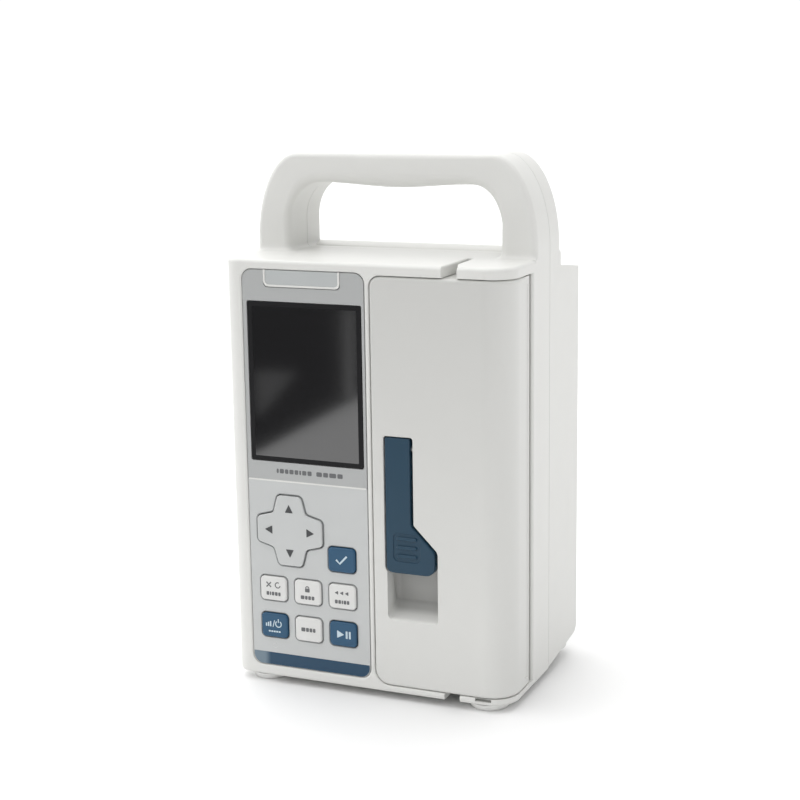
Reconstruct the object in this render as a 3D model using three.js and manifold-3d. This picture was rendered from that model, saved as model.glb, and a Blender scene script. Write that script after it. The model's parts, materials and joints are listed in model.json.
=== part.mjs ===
// Portable infusion pump with a carrying handle, a side-hinged pump door and a pole clamp.
// Millimetres, +Z up, front towards -Y. Built in housing coordinates: x = 0 in the middle of the width,
// y = 0 on the front face, z = 0 on the underside of the housing. The exported group then moves the
// origin to the middle of the object's footprint, on the plane that its feet stand on.
import * as THREE from "three";
import { mergeVertices } from "three/addons/utils/BufferGeometryUtils.js";
import Module from "manifold-3d";

const wasm = await Module();
wasm.setup();

// ---------------------------------------------------------------- driving dimensions
const HALF = 70; // half the width
const TOP = 199; // top of the shelf
const DEPTH = 101;
const SEAM = 54; // where the front and rear housings meet
const WALL = 2.5;
const GAP = 0.3; // clearance between neighbours
const RUN = 0.15; // radial clearance of a pin in its bore
const LEFT_EDGE_R = 8;
const RIGHT_EDGE_R = 13;
const FOOT_H = 3.5;

const HANDLE = { front: 35, rear: 70, top: 245.3, shoulder: 203, cornerX: 48.5, legX: 52.8, wall: 3 };
const LIP = { y: 58, crest: 67.5, rise: 1.9 }; // low ramp along the back of the shelf

const PANEL = { x0: -60, x1: 1, z0: 5.4, z1: 194.5, r: 5, y0: 0.3, y1: 1.3 };
const WINDOW = { x0: -57.7, x1: -0.6, z0: 105.4, z1: 179.9 };
const LENS = { x0: -48.8, x1: -10.8, z0: 186.9 };
const FRONT_WALL = 3.6; // depth of the front wall behind the panel
const BOX_RIGHT = 3.3; // right face of the control box, beside the door

const KEY = { w: 13.7, h: 11.7, r: 2, front: -0.8, rear: 6.3 };
const KEY_X = [-48, -30.15, -12.3];
const KEY_Z = [25.4, 43.6, 61.3];
const KEYS = {
  key_power: [0, 0],
  key_mode: [1, 0],
  key_start: [2, 0],
  key_clear: [0, 1],
  key_menu: [1, 1],
  key_bolus: [2, 1],
  key_enter: [2, 2],
};
const PAD = { x: -38.8, z: 72.5, reach: 16.8, tip: 6, root: 8.3, front: -0.6, rear: 3.4 };

const BAY = { z0: 3.2, z1: 193.9, deck: 27, deckRear: 29.5, corners: [7.6, 0, 0, 5.2] };
const DOOR = { left: 3.9, z0: 3.8, z1: 193.2, rear: 21.7, liner: 20, linerRear: 22.2 };
const HINGE = { x: 67, y: 25.7, cove: 5.5, pinR: 1.4, tab: 3.4 };

const TUBE_X = 39.6; // line of the infusion tube through the pump
const NOTCH = { left: 38, right: 45.5, y: 34 };

const LEVER = { x0: 9.9, x1: 22.2, x2: 33.8, top: 121.2, bend: 81, hip: 69.3, foot: 57.9, y0: 0.2, y1: 5.2 };
const LEVER_REVEAL = 1; // extra room on the right of the lever
const LEVER_PIN = { y: 3.2, z: 116, r: 1.2 };
const SCOOP = { x0: 10.5, x1: 35.3, z0: 36, depth: 12.5 };
const POCKET_Y = 6.2;
const LATCH = { x0: 6.9, x1: 12.5, y0: 15.2, y1: 19.2, z0: 30, z1: 172, hookW: 3.6, hookZ: [40, 160] };
const CRANK = { x0: 10.2, x1: 12.2 }; // the lever's crank and the latch bar's lug meet here

const FINGERS = 8;
const FINGER = { pitch: 9, w: 10, h: 8.2, tip: 26.6, rear: 51.5 };
const PUMP_MID = 100; // height of the middle of the pumping line
const PLATEN = { w: 15.2, h: 78, front: 18, rear: 23.4 };
const SPRING = { r: 3.4, wire: 0.45, turns: 5, z: [80, 126], seat: 2.2 };
const SHAFT = { y: 62, r: 4, z0: 46, z1: 163.5, camR: 9.4, throw: 0.8 };
const PULLEY = { z0: 155, z1: 163, camR: 14, motorR: 7 };
const MOTOR = { x: -2, y: 75.5, size: 35, z0: 112, z1: 148, shaftR: 2.5 };

const CLAMP = { x0: -28, x1: 40, z0: 92, z1: 128, arm: 12, spine: 10, rear: 148, y0: 101.4 };
const JAW = { thick: 7, travel: 20 };
const SCREW = { y: 130, z: 110, r: 4, seat: 4.3, knobLength: 20 };

const FRONT_MOST = KEY.front;
const ORIGIN_Y = (CLAMP.rear + FRONT_MOST) / 2;

// ---------------------------------------------------------------- colours and surfaces
const material = (colour, roughness, metalness = 0) =>
  new THREE.MeshStandardMaterial({ color: colour, roughness, metalness });
const SURFACE = {
  casing: material(0xe6e7e4, 0.5),
  film: material(0xb9bcc0, 0.45),
  glass: material(0x101214, 0.08),
  lens: material(0xc9cccf, 0.3),
  blue: material(0x234863, 0.4),
  whiteKey: material(0xf1f1ee, 0.5),
  silicone: material(0x8f959a, 0.7),
  board: material(0x1f5a3a, 0.5),
  steel: material(0xb4b7ba, 0.3, 1),
  brass: material(0xb8974a, 0.35, 1),
  moulding: material(0xd4d6d4, 0.55),
  dark: material(0x2b2d30, 0.6),
  rubber: material(0x7d8083, 0.8),
  battery: material(0x2f5c86, 0.5),
};

// ---------------------------------------------------------------- solids
function solid(geometry) {
  geometry.deleteAttribute("normal");
  geometry.deleteAttribute("uv");
  const merged = mergeVertices(geometry, 1e-4);
  return new wasm.Manifold(
    new wasm.Mesh({
      numProp: 3,
      vertProperties: new Float32Array(merged.attributes.position.array),
      triVerts: new Uint32Array(merged.index.array),
    }),
  );
}

const join = (...solids) => solids.reduce((a, b) => a.add(b));
const cut = (base, ...tools) => tools.reduce((a, b) => a.subtract(b), base);

function box(x0, x1, y0, y1, z0, z1) {
  const g = new THREE.BoxGeometry(x1 - x0, y1 - y0, z1 - z0);
  return solid(g.translate((x0 + x1) / 2, (y0 + y1) / 2, (z0 + z1) / 2));
}

// A shape drawn in x and y, raised from z0 to z1.
function raise(shape, z0, z1, curveSegments = 6) {
  const g = new THREE.ExtrudeGeometry(shape, { depth: z1 - z0, bevelEnabled: false, curveSegments });
  return solid(g.translate(0, 0, z0));
}

// A shape drawn in x and z, pushed back from y0 to y1.
function push(shape, y0, y1, curveSegments = 6) {
  const g = new THREE.ExtrudeGeometry(shape, { depth: y1 - y0, bevelEnabled: false, curveSegments });
  return solid(g.rotateX(Math.PI / 2).translate(0, y1, 0));
}

// A shape drawn in y and z, pushed sideways from x0 to x1.
function across(shape, x0, x1, curveSegments = 6) {
  const g = new THREE.ExtrudeGeometry(shape, { depth: x1 - x0, bevelEnabled: false, curveSegments });
  return solid(g.rotateX(Math.PI / 2).rotateZ(Math.PI / 2).translate(x0, 0, 0));
}

// A cylinder or cone about z; the matching calls below lay it along y or x.
function post(x, y, z0, z1, r, rTop = r, sides = 24) {
  const g = new THREE.CylinderGeometry(rTop, r, z1 - z0, sides);
  return solid(g.rotateX(Math.PI / 2).translate(x, y, (z0 + z1) / 2));
}

function peg(x, z, y0, y1, r, sides = 24) {
  const g = new THREE.CylinderGeometry(r, r, y1 - y0, sides);
  return solid(g.translate(x, (y0 + y1) / 2, z));
}

function bar(y, z, x0, x1, r, sides = 24) {
  const g = new THREE.CylinderGeometry(r, r, x1 - x0, sides);
  return solid(g.rotateZ(Math.PI / 2).translate((x0 + x1) / 2, y, z));
}

// ---------------------------------------------------------------- outlines
// A rectangle with its own radius at each corner: lower left, lower right, upper right, upper left.
function rectangle(a0, a1, b0, b1, radii = [0, 0, 0, 0]) {
  const [r0, r1, r2, r3] = Array.isArray(radii) ? radii : [radii, radii, radii, radii];
  const s = new THREE.Shape();
  s.moveTo(a0 + r0, b0);
  s.lineTo(a1 - r1, b0);
  if (r1) s.absarc(a1 - r1, b0 + r1, r1, -Math.PI / 2, 0);
  s.lineTo(a1, b1 - r2);
  if (r2) s.absarc(a1 - r2, b1 - r2, r2, 0, Math.PI / 2);
  s.lineTo(a0 + r3, b1);
  if (r3) s.absarc(a0 + r3, b1 - r3, r3, Math.PI / 2, Math.PI);
  s.lineTo(a0, b0 + r0);
  if (r0) s.absarc(a0 + r0, b0 + r0, r0, Math.PI, 1.5 * Math.PI);
  return s;
}

const polygon = (points) => new THREE.Shape(points.map(([a, b]) => new THREE.Vector2(a, b)));

// Outer outline of the handle in front view, shrunk by inset; it starts below the shelf.
function handleOutline(inset = 0) {
  const x = HALF - inset;
  const s = new THREE.Shape();
  s.moveTo(x, TOP - 9);
  s.lineTo(x, HANDLE.shoulder);
  const rise = HANDLE.top - HANDLE.shoulder - inset;
  s.absellipse(HANDLE.cornerX, HANDLE.shoulder, HALF - HANDLE.cornerX - inset, rise, 0, Math.PI / 2);
  s.lineTo(-HANDLE.cornerX, HANDLE.top - inset);
  s.absellipse(-HANDLE.cornerX, HANDLE.shoulder, HALF - HANDLE.cornerX - inset, rise, Math.PI / 2, Math.PI);
  s.lineTo(-x, TOP - 9);
  return s;
}

// The hand opening: straight legs, elliptical corners and a grip that swells downwards in the middle.
function handOpening(inset = 0, floor = TOP) {
  const leg = HANDLE.legX + inset;
  const corner = 38;
  const spring = 213;
  const roof = 231.3 + inset;
  const swell = 1.9;
  const s = new THREE.Shape();
  s.moveTo(-leg, floor);
  s.lineTo(leg, floor);
  s.lineTo(leg, spring);
  s.absellipse(corner, spring, leg - corner, roof - spring, 0, Math.PI / 2);
  const steps = 8;
  for (let i = 1; i < steps; i++) {
    const x = corner - (2 * corner * i) / steps;
    s.lineTo(x, roof - swell * Math.cos((Math.PI * x) / (2 * corner)) ** 2);
  }
  s.lineTo(-corner, roof);
  s.absellipse(-corner, spring, leg - corner, roof - spring, Math.PI / 2, Math.PI);
  return s;
}

// The slot that the infusion tube is laid into, in plan: wide at the front and narrow at its end.
function tubeNotch() {
  const end = 1.3;
  const s = new THREE.Shape();
  s.moveTo(NOTCH.left, -1);
  s.lineTo(NOTCH.right, -1);
  s.lineTo(NOTCH.right, 1);
  s.lineTo(NOTCH.left + 3.4, 12);
  s.lineTo(NOTCH.left + 2 * end, NOTCH.y - end);
  s.absarc(NOTCH.left + end, NOTCH.y - end, end, 0, Math.PI);
  return s;
}

// The latch lever's face in front view, grown by margin and on its right side by reveal as well.
function leverOutline(margin = 0, reveal = 0) {
  const m = margin;
  const neck = LEVER.x1 + m + reveal;
  const side = LEVER.x2 + m + reveal;
  return polygon([
    [LEVER.x0 - m, LEVER.foot + 3.3 - m / 2],
    [LEVER.x0 + 2.5, LEVER.foot - m],
    [side - 4.9 - m / 2, LEVER.foot - m],
    [side, LEVER.foot + 4.3 - m / 2],
    [side, LEVER.hip + m / 2],
    [neck, LEVER.bend + m / 2],
    [neck, LEVER.top - 1 + m],
    [neck - 1, LEVER.top + m],
    [LEVER.x0 + 1 - m, LEVER.top + m],
    [LEVER.x0 - m, LEVER.top - 1 + m],
  ]);
}

// The direction pad: a cross whose arms narrow towards their tips, grown by margin.
function crossOutline(margin = 0) {
  const { x, z } = PAD;
  const reach = PAD.reach + margin;
  const tip = PAD.tip + margin;
  const root = PAD.root + margin;
  const points = [];
  for (let arm = 0; arm < 4; arm++) {
    const turn = (arm * Math.PI) / 2;
    const [c, s] = [Math.cos(turn), Math.sin(turn)];
    const put = (u, v) => points.push([x + u * c - v * s, z + u * s + v * c]);
    put(root, -root + 0.01);
    put(reach - 1.2, -tip);
    put(reach, -tip + 1.2);
    put(reach, tip - 1.2);
    put(reach - 1.2, tip);
  }
  return polygon(points);
}

const keyAt = (name) => [KEY_X[KEYS[name][0]], KEY_Z[KEYS[name][1]]];

function keyOutline(name, margin = 0) {
  const [x, z] = keyAt(name);
  const [w, h] = [KEY.w / 2 + margin, KEY.h / 2 + margin];
  return rectangle(x - w, x + w, z - h, z + h, KEY.r + margin);
}

// ---------------------------------------------------------------- housings
const LEG_OUTER = HANDLE.legX + HANDLE.wall + 0.2; // where the hollow inside each leg begins

// Plan of the casing with its two front edges rounded.
function planOutline(y1, rearR = 0) {
  return rectangle(-HALF, HALF, 0, y1, [LEFT_EDGE_R, RIGHT_EDGE_R, rearR, rearR]);
}

function footBosses(y) {
  return [-56, 56].map((x) => post(x, y, 0, 8, 12));
}

function frontHousing() {
  const y1 = SEAM - GAP / 2;
  const shell = join(
    raise(planOutline(y1), 0, TOP),
    push(handleOutline(), HANDLE.front, y1, 8),
  );
  const inner = HALF - WALL;
  const controlCavity = box(-inner, 0.8, FRONT_WALL, SEAM, BAY.z0, TOP - 2.7);
  const mainCavity = cut(
    box(-inner, inner, BAY.deckRear, SEAM, 2.7, TOP - 2.7),
    post(HINGE.x, HINGE.y, 0, TOP, HINGE.cove + 2.1),
  );
  const handleCavity = cut(
    push(handleOutline(HANDLE.wall), HANDLE.front + HANDLE.wall, SEAM, 8),
    push(handOpening(HANDLE.wall, TOP - 20), 0, SEAM + 1, 6),
    box(-LEG_OUTER, LEG_OUTER, 0, SEAM + 1, TOP - 20, TOP),
  );
  const bay = join(
    box(BOX_RIGHT, HALF + 1, -1, HINGE.y, BAY.z0, BAY.z1),
    box(BOX_RIGHT, HINGE.x - 4.5, HINGE.y - 1, BAY.deck, BAY.z0, BAY.z1),
    post(HINGE.x, HINGE.y, BAY.z0, BAY.z1, HINGE.cove),
  ).intersect(push(rectangle(BOX_RIGHT, HALF + 1, BAY.z0, BAY.z1, BAY.corners), -1, 40));
  const seat = rectangle(PANEL.x0 - GAP, PANEL.x1 + GAP, PANEL.z0 - GAP, PANEL.z1 + GAP, PANEL.r);
  const keyHoles = Object.keys(KEYS).map((name) => push(keyOutline(name, 0.4), 0, 5, 2));
  const hingeBoreTop = post(HINGE.x, HINGE.y, TOP - 7, TOP - 1.9, HINGE.pinR + RUN, HINGE.pinR + RUN, 16);
  const hingeBoreBottom = post(HINGE.x, HINGE.y, 1.2, 5, HINGE.pinR + RUN, HINGE.pinR + RUN, 16);
  return cut(
    shell,
    push(handOpening(), 0, SEAM + 1, 6),
    controlCavity,
    mainCavity,
    handleCavity,
    bay,
    push(seat, -1, 1.6, 4),
    raise(tubeNotch(), BAY.z1 - 1, TOP + 1),
    raise(tubeNotch(), -1, BAY.z0 + 1),
    box(WINDOW.x0 + 1.5, WINDOW.x1 - 1.5, 1, 5, WINDOW.z0 + 1.5, WINDOW.z1 - 1.5),
    box(-45.3, -14.7, 1, 5, 188.9, 193.1),
    box(52.8, 60.6, -1, 6, 1.7, 3.1),
    push(crossOutline(0.5), 0, 5),
    ...keyHoles,
    hingeBoreTop,
    hingeBoreBottom,
    box(TUBE_X - 5.4, TUBE_X + 5.4, 26, 30, PUMP_MID - 37, PUMP_MID + 37),
    peg(TUBE_X, 50, 26, 30, 3.3),
    box(TUBE_X - 4.3, TUBE_X + 4.3, 26, 30, 152.7, 161.3),
    ...LATCH.hookZ.map((z) => box(LATCH.x0 - 1, LATCH.x1 - 0.5, 26, 30, z - 8, z + 5)),
  );
}

// Side view of the rear housing, shrunk by inset: its top falls and its underside rises towards the back.
function rearSide(inset = 0, y0 = SEAM + GAP / 2) {
  return polygon([
    [y0, inset],
    [DEPTH - 6 - inset / 2, 5.2 + inset],
    [DEPTH - inset, 10.5 + inset / 2],
    [DEPTH - inset, 188 - inset],
    [DEPTH - 1 - inset, 189 - inset],
    [y0, 194.8 - inset],
  ]);
}

function rearHousing() {
  const y0 = SEAM + GAP / 2;
  const inner = HALF - WALL;
  const shell = join(
    across(rearSide(), -HALF, HALF).intersect(raise(planOutline(DEPTH, 4), -1, TOP)),
    box(-HALF, HALF, y0, HANDLE.rear, TOP - 12, TOP),
    push(handleOutline(), y0, HANDLE.rear, 8),
    ...footBosses(86),
  );
  const saddleCavity = box(-inner, inner, SEAM, HANDLE.rear - WALL, TOP - 15, TOP - WALL);
  const handleCavity = cut(
    push(handleOutline(HANDLE.wall), SEAM, HANDLE.rear - HANDLE.wall, 8),
    push(handOpening(HANDLE.wall, TOP - 20), SEAM - 1, DEPTH, 6),
    box(-LEG_OUTER, LEG_OUTER, SEAM - 1, DEPTH, TOP - 20, TOP),
  );
  const ramp = polygon([
    [LIP.y, TOP - 1],
    [HANDLE.rear, TOP - 1],
    [HANDLE.rear, TOP + LIP.rise],
    [LIP.crest, TOP + LIP.rise],
    [LIP.y, TOP],
  ]);
  const grille = [];
  for (let i = -3; i <= 3; i++) grille.push(box(-52, -32, 96, 103, 158.8 + 4 * i, 161.2 + 4 * i));
  const hollow = cut(
    shell,
    across(rearSide(WALL, SEAM - 1), -inner, inner),
    saddleCavity,
    handleCavity,
    push(handOpening(), SEAM - 1, DEPTH, 6),
    box(30.7, 61.3, 96, 103, 18.7, 43.3),
    box(-62.3, -7.7, 96, 103, 14.7, 50.3),
    ...grille,
  );
  return join(hollow, across(ramp, -HANDLE.legX - 1, HANDLE.legX + 1));
}

// ---------------------------------------------------------------- control panel and keys
function controlPanel() {
  const { x0, x1, z0, z1, r, y0, y1 } = PANEL;
  const g = GAP;
  return cut(
    push(rectangle(x0, x1, z0, z1, r), y0, y1, 4),
    push(rectangle(WINDOW.x0 - g, WINDOW.x1 + g, WINDOW.z0 - g, WINDOW.z1 + g, 1), 0, 5, 2),
    push(rectangle(LENS.x0 - g, LENS.x1 + g, LENS.z0 - g, z1 + 1, [2, 2, 0, 0]), 0, 5, 3),
    push(crossOutline(0.5), 0, 5),
    ...Object.keys(KEYS).map((name) => push(keyOutline(name, 0.4), 0, 5, 2)),
  );
}

function alarmLens() {
  return join(
    push(rectangle(LENS.x0, LENS.x1, LENS.z0, PANEL.z1, [1.7, 1.7, 0, 0]), 0, PANEL.y1, 3),
    box(-45, -15, PANEL.y1 - 0.2, 7, 189.2, 192.8),
  );
}

function keypadMat() {
  const domes = Object.keys(KEYS).map((name) => peg(...keyAt(name), 7, 7.5, 3.5, 12));
  return cut(join(box(-59, -3, 7.3, 8.7, 15, 92), ...domes), peg(PAD.x, PAD.z, 6, 10, 3));
}

function directionPad() {
  return cut(push(crossOutline(), PAD.front, PAD.rear), peg(PAD.x, PAD.z, 1.5, 4, 3));
}

function padPivot() {
  return join(peg(PAD.x, PAD.z, 1.9, 6, 1.6, 16), peg(PAD.x, PAD.z, 5.8, 8.7, 2.6, 16));
}

function mainBoard() {
  const chips = [
    box(-52, -38, 10.4, 12, 150, 164),
    box(-30, -20, 10.4, 13, 120, 130),
    box(-50, -14, 10.4, 16, 24, 32),
  ];
  return join(box(-64, -1.5, 9, 10.6, 12, 184), ...chips);
}

// ---------------------------------------------------------------- door
function doorShell() {
  const plan = rectangle(DOOR.left, HALF, 0, DOOR.rear, [2, RIGHT_EDGE_R, 0, 0]);
  const face = rectangle(DOOR.left, HALF + 1, DOOR.z0, DOOR.z1, [7, 0, 0, 4.6]);
  const hollow = rectangle(DOOR.left + WALL, HALF - WALL, WALL, 30, [0, RIGHT_EDGE_R - WALL, 0, 0]);
  const inside = rectangle(DOOR.left + WALL, HALF, DOOR.z0 + WALL, DOOR.z1 - WALL, [4.5, 0, 0, 2.1]);
  const tray = cut(
    raise(plan, DOOR.z0, DOOR.z1, 8).intersect(push(face, -1, 30)),
    raise(hollow, 0, TOP, 8).intersect(push(inside, -1, 31)),
  );
  const well = join(
    push(leverOutline(2.4, LEVER_REVEAL), WALL - 0.5, 14).intersect(box(0, 60, 0, 20, 50, 130)),
    box(SCOOP.x0 - 2, SCOOP.x1 + 2.2, WALL - 0.5, 14, SCOOP.z0 - 2, 66),
  );
  const scoop = polygon([
    [-1, SCOOP.z0],
    [1.5, SCOOP.z0 + 0.6],
    [10, SCOOP.z0 + 3.5],
    [SCOOP.depth, SCOOP.z0 + 6],
    [SCOOP.depth - 2, 68],
    [-1, 68],
  ]);
  const hingeTabs = [DOOR.z0, DOOR.z1 - HINGE.tab].map((z) =>
    box(HINGE.x - 2.6, HINGE.x + 2.6, DOOR.rear - 4, HINGE.y, z, z + HINGE.tab),
  );
  const barrel = join(
    post(HINGE.x, HINGE.y, DOOR.z0, DOOR.z1, 2.6, 2.6, 20),
    box(HALF - WALL + 0.1, HINGE.x + 2.2, DOOR.rear - 1, HINGE.y, DOOR.z0, DOOR.z1),
  );
  const bores = post(HINGE.x, HINGE.y, 0, TOP, HINGE.pinR + RUN, HINGE.pinR + RUN, 16);
  return cut(
    join(tray, well, barrel, ...hingeTabs),
    push(leverOutline(0.5, LEVER_REVEAL), -1, POCKET_Y),
    across(scoop, SCOOP.x0, SCOOP.x1),
    box(LEVER.x0 - 0.5, LEVER.x1 + 0.5, 1, 11.5, 107.5, LEVER.top + 1.2),
    box(LEVER.x0 - 0.5, LATCH.x1 + 0.6, 6, 15, 98.7, 114),
    bar(LEVER_PIN.y, LEVER_PIN.z, 7.7, 25.1, LEVER_PIN.r + RUN, 16),
    bores,
  );
}

function doorLiner() {
  const [x0, x1] = [DOOR.left + WALL + GAP, HALF - WALL - GAP];
  const [z0, z1] = [DOOR.z0 + HINGE.tab + GAP, DOOR.z1 - HINGE.tab - GAP];
  const plate = push(rectangle(x0, x1, z0, z1, [4.3, 0, 0, 2]), DOOR.liner, DOOR.linerRear, 3);
  const slots = LATCH.hookZ.map((z) => box(LATCH.x0 - 0.7, LATCH.x1 - 1, 19, 23, z - 8, z + 5));
  const w = PLATEN.w / 2 + 0.4;
  const h = PLATEN.h / 2 + 0.4;
  return cut(plate, ...slots, box(TUBE_X - w, TUBE_X + w, 19, 23, PUMP_MID - h, PUMP_MID + h));
}

function latchLever() {
  const plate = cut(
    push(leverOutline(), LEVER.y0, LEVER.y1),
    bar(LEVER_PIN.y, LEVER_PIN.z, 0, 40, LEVER_PIN.r + RUN, 16),
  );
  const ridges = [66.2, 70.3, 74.4].map((z) => bar(0.7, z, 15.2, 25.2, 0.9, 10));
  const crank = box(CRANK.x0, CRANK.x1, LEVER.y1 - 0.5, 10, 112.5, 115.5);
  return join(plate, ...ridges, crank);
}

function latchBar() {
  const { x0, x1, y0, y1, z0, z1, hookW, hookZ } = LATCH;
  const hooks = hookZ.flatMap((z) => [
    box(x0, x0 + hookW, y1 - 1, 33.4, z - 2, z + 1.6),
    box(x0, x0 + hookW, 31.9, 33.4, z, z + 2.6),
  ]);
  return join(box(x0, x1, y0, y1, z0, z1), ...hooks, box(CRANK.x0, x1, 8.5, 16, 104.5, 107.9));
}

function strikePlate() {
  const { x0, x1, hookZ } = LATCH;
  const windows = hookZ.map((z) => box(x0 - 1, x1 - 0.5, 29, 33, z - 9, z + 3));
  return cut(box(BOX_RIGHT + 1.5, x1 + 2, 29.8, 31.3, 24, 178), ...windows);
}

function hingePin(z0, z1) {
  return post(HINGE.x, HINGE.y, z0, z1, HINGE.pinR, HINGE.pinR, 16);
}

function platen() {
  const [w, h] = [PLATEN.w / 2, PLATEN.h / 2];
  const face = rectangle(TUBE_X - w, TUBE_X + w, PUMP_MID - h, PUMP_MID + h, 1.5);
  const seats = SPRING.z.map((z) => peg(TUBE_X, z, 17, PLATEN.front + SPRING.seat, SPRING.r + 1, 16));
  return cut(push(face, PLATEN.front, PLATEN.rear, 3), ...seats);
}

class Helix extends THREE.Curve {
  constructor(radius, turns, length) {
    super();
    Object.assign(this, { radius, turns, length });
  }
  getPoint(t, target = new THREE.Vector3()) {
    const a = 2 * Math.PI * this.turns * t;
    return target.set(this.radius * Math.cos(a), this.length * t, this.radius * Math.sin(a));
  }
}

function platenSpring(z) {
  const wire = new THREE.Shape();
  wire.absarc(0, 0, SPRING.wire, 0, 2 * Math.PI);
  const start = WALL + 0.8;
  const end = PLATEN.front + 0.1; // inside its seat, which leaves room for the platen's travel
  const g = new THREE.ExtrudeGeometry(wire, {
    extrudePath: new Helix(SPRING.r, SPRING.turns, end - start),
    steps: SPRING.turns * 8,
    curveSegments: 4,
    bevelEnabled: false,
  });
  return solid(g.translate(TUBE_X, start, z));
}

// ---------------------------------------------------------------- pump mechanism
function fingerZ(i) {
  return PUMP_MID + (i - (FINGERS - 1) / 2) * FINGER.pitch;
}

function pumpFrame() {
  const slots = [];
  for (let i = 0; i < FINGERS; i++) {
    const half = FINGER.h / 2 + 0.25;
    slots.push(box(TUBE_X - 5.25, TUBE_X + 5.25, 29, 43, fingerZ(i) - half, fingerZ(i) + half));
  }
  return cut(
    join(
      box(TUBE_X - 10, TUBE_X + 10, 29.8, 42, PUMP_MID - 52, PUMP_MID + 52),
      box(TUBE_X - 12, TUBE_X + 12, 29.8, 74, PUMP_MID - 52, PUMP_MID - 44),
      box(TUBE_X - 12, TUBE_X + 12, 29.8, 74, PUMP_MID + 44, PUMP_MID + 52),
    ),
    ...slots,
    post(TUBE_X, SHAFT.y, 0, TOP, 8.3),
  );
}

function finger(i) {
  const [w, h] = [FINGER.w / 2, FINGER.h / 2];
  return push(
    rectangle(TUBE_X - w, TUBE_X + w, fingerZ(i) - h, fingerZ(i) + h, 1),
    FINGER.tip,
    FINGER.rear,
    2,
  );
}

function camshaft() {
  const cams = [];
  for (let i = 0; i < FINGERS; i++) {
    const phase = (2 * Math.PI * i) / FINGERS;
    const x = TUBE_X + SHAFT.throw * Math.cos(phase);
    const y = SHAFT.y + SHAFT.throw * Math.sin(phase);
    cams.push(post(x, y, fingerZ(i) - 4.6, fingerZ(i) + 4.6, SHAFT.camR, SHAFT.camR, 20));
  }
  return join(post(TUBE_X, SHAFT.y, SHAFT.z0, SHAFT.z1, SHAFT.r), ...cams);
}

function bearing(z0) {
  return cut(
    post(TUBE_X, SHAFT.y, z0, z0 + 6, 8, 8, 28),
    post(TUBE_X, SHAFT.y, z0 - 1, z0 + 7, SHAFT.r + 0.2),
  );
}

function pulley(x, y, r, shaftR) {
  const { z0, z1 } = PULLEY;
  return cut(
    join(post(x, y, z0, z0 + 0.9, r + 1.6), post(x, y, z0 + 0.5, z1, r)),
    post(x, y, z0 - 1, z1 + 1, shaftR + 0.2),
  );
}

// Belt round both pulleys: two arcs joined by the outer tangents.
function beltOutline(extra) {
  const dx = MOTOR.x - TUBE_X;
  const dy = MOTOR.y - SHAFT.y;
  const [big, small] = [PULLEY.camR + extra, PULLEY.motorR + extra];
  const heading = Math.atan2(dy, dx);
  const spread = Math.acos((big - small) / Math.hypot(dx, dy));
  const s = new THREE.Shape();
  s.absarc(TUBE_X, SHAFT.y, big, heading + spread, heading - spread + 2 * Math.PI);
  s.absarc(MOTOR.x, MOTOR.y, small, heading - spread, heading + spread);
  return s;
}

function driveBelt() {
  return cut(raise(beltOutline(1.5), 156.4, 162.4, 9), raise(beltOutline(GAP), 150, 170, 9));
}

function stepperMotor() {
  const { x, y, size, z0, z1 } = MOTOR;
  const half = size / 2;
  const can = rectangle(x - half, x + half, y - half, y + half, 4);
  const nose = post(x, y, z1 - 1, z1 + 2, 11);
  return cut(join(raise(can, z0, z1, 3), nose), post(x, y, z1 - 8, z1 + 3, MOTOR.shaftR + 0.2));
}

function motorShaft() {
  return post(MOTOR.x, MOTOR.y, MOTOR.z1 - 7.5, PULLEY.z1 + 0.4, MOTOR.shaftR, MOTOR.shaftR, 16);
}

function bubbleSensor() {
  const [z0, z1] = [150, 164];
  return cut(
    join(box(TUBE_X - 7, TUBE_X + 7, 23, 26.7, z0, z1), box(TUBE_X - 4, TUBE_X + 4, 26, 33, 153, 161)),
    box(TUBE_X - 2.1, TUBE_X + 2.1, 22, 25.6, z0 - 1, z1 + 1),
  );
}

function pressureSensor() {
  return join(peg(TUBE_X, 50, 24, 26.7, 5), peg(TUBE_X, 50, 26, 29.6, 3));
}

// ---------------------------------------------------------------- electrics and rear fittings
function batteryPack() {
  const tubes = [-52.4, -35, -17.6].map((x) => post(x, 84.5, 14.4, 52, 8.6, 8.6, 20));
  return join(box(-61, -9, 76.5, 88, 14.8, 51.4), ...tubes);
}

function batteryCover() {
  const grip = box(-40, -30, 100, 102, 44, 47);
  return cut(push(rectangle(-62, -8, 15, 50, 1.5), 98.7, 100.7, 3), grip);
}

function powerInlet() {
  const socket = cut(
    join(box(31, 61, 98, 101.2, 19, 43), box(33.5, 58.5, 84, 99, 21.5, 40.5)),
    box(35, 57, 86, 102, 23.5, 38.5),
  );
  const blades = [
    [39, 29],
    [46, 33],
    [53, 29],
  ].map(([x, z]) => box(x - 1, x + 1, 85, 98, z - 2, z + 2));
  return join(socket, ...blades);
}

function powerBoard() {
  return join(
    box(4, 62, 56, 82, 10, 11.6),
    box(10, 34, 60, 78, 11.4, 29),
    box(40, 52, 60, 70, 11.4, 24),
    box(54, 60, 58, 66, 11.4, 20),
  );
}

function speaker() {
  return join(peg(-42, 160, 92, 97.9, 14, 28), peg(-42, 160, 86, 92.5, 8, 20));
}

function foot(x, y) {
  return post(x, y, -FOOT_H, -GAP, 8.6, 10.4);
}

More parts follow.
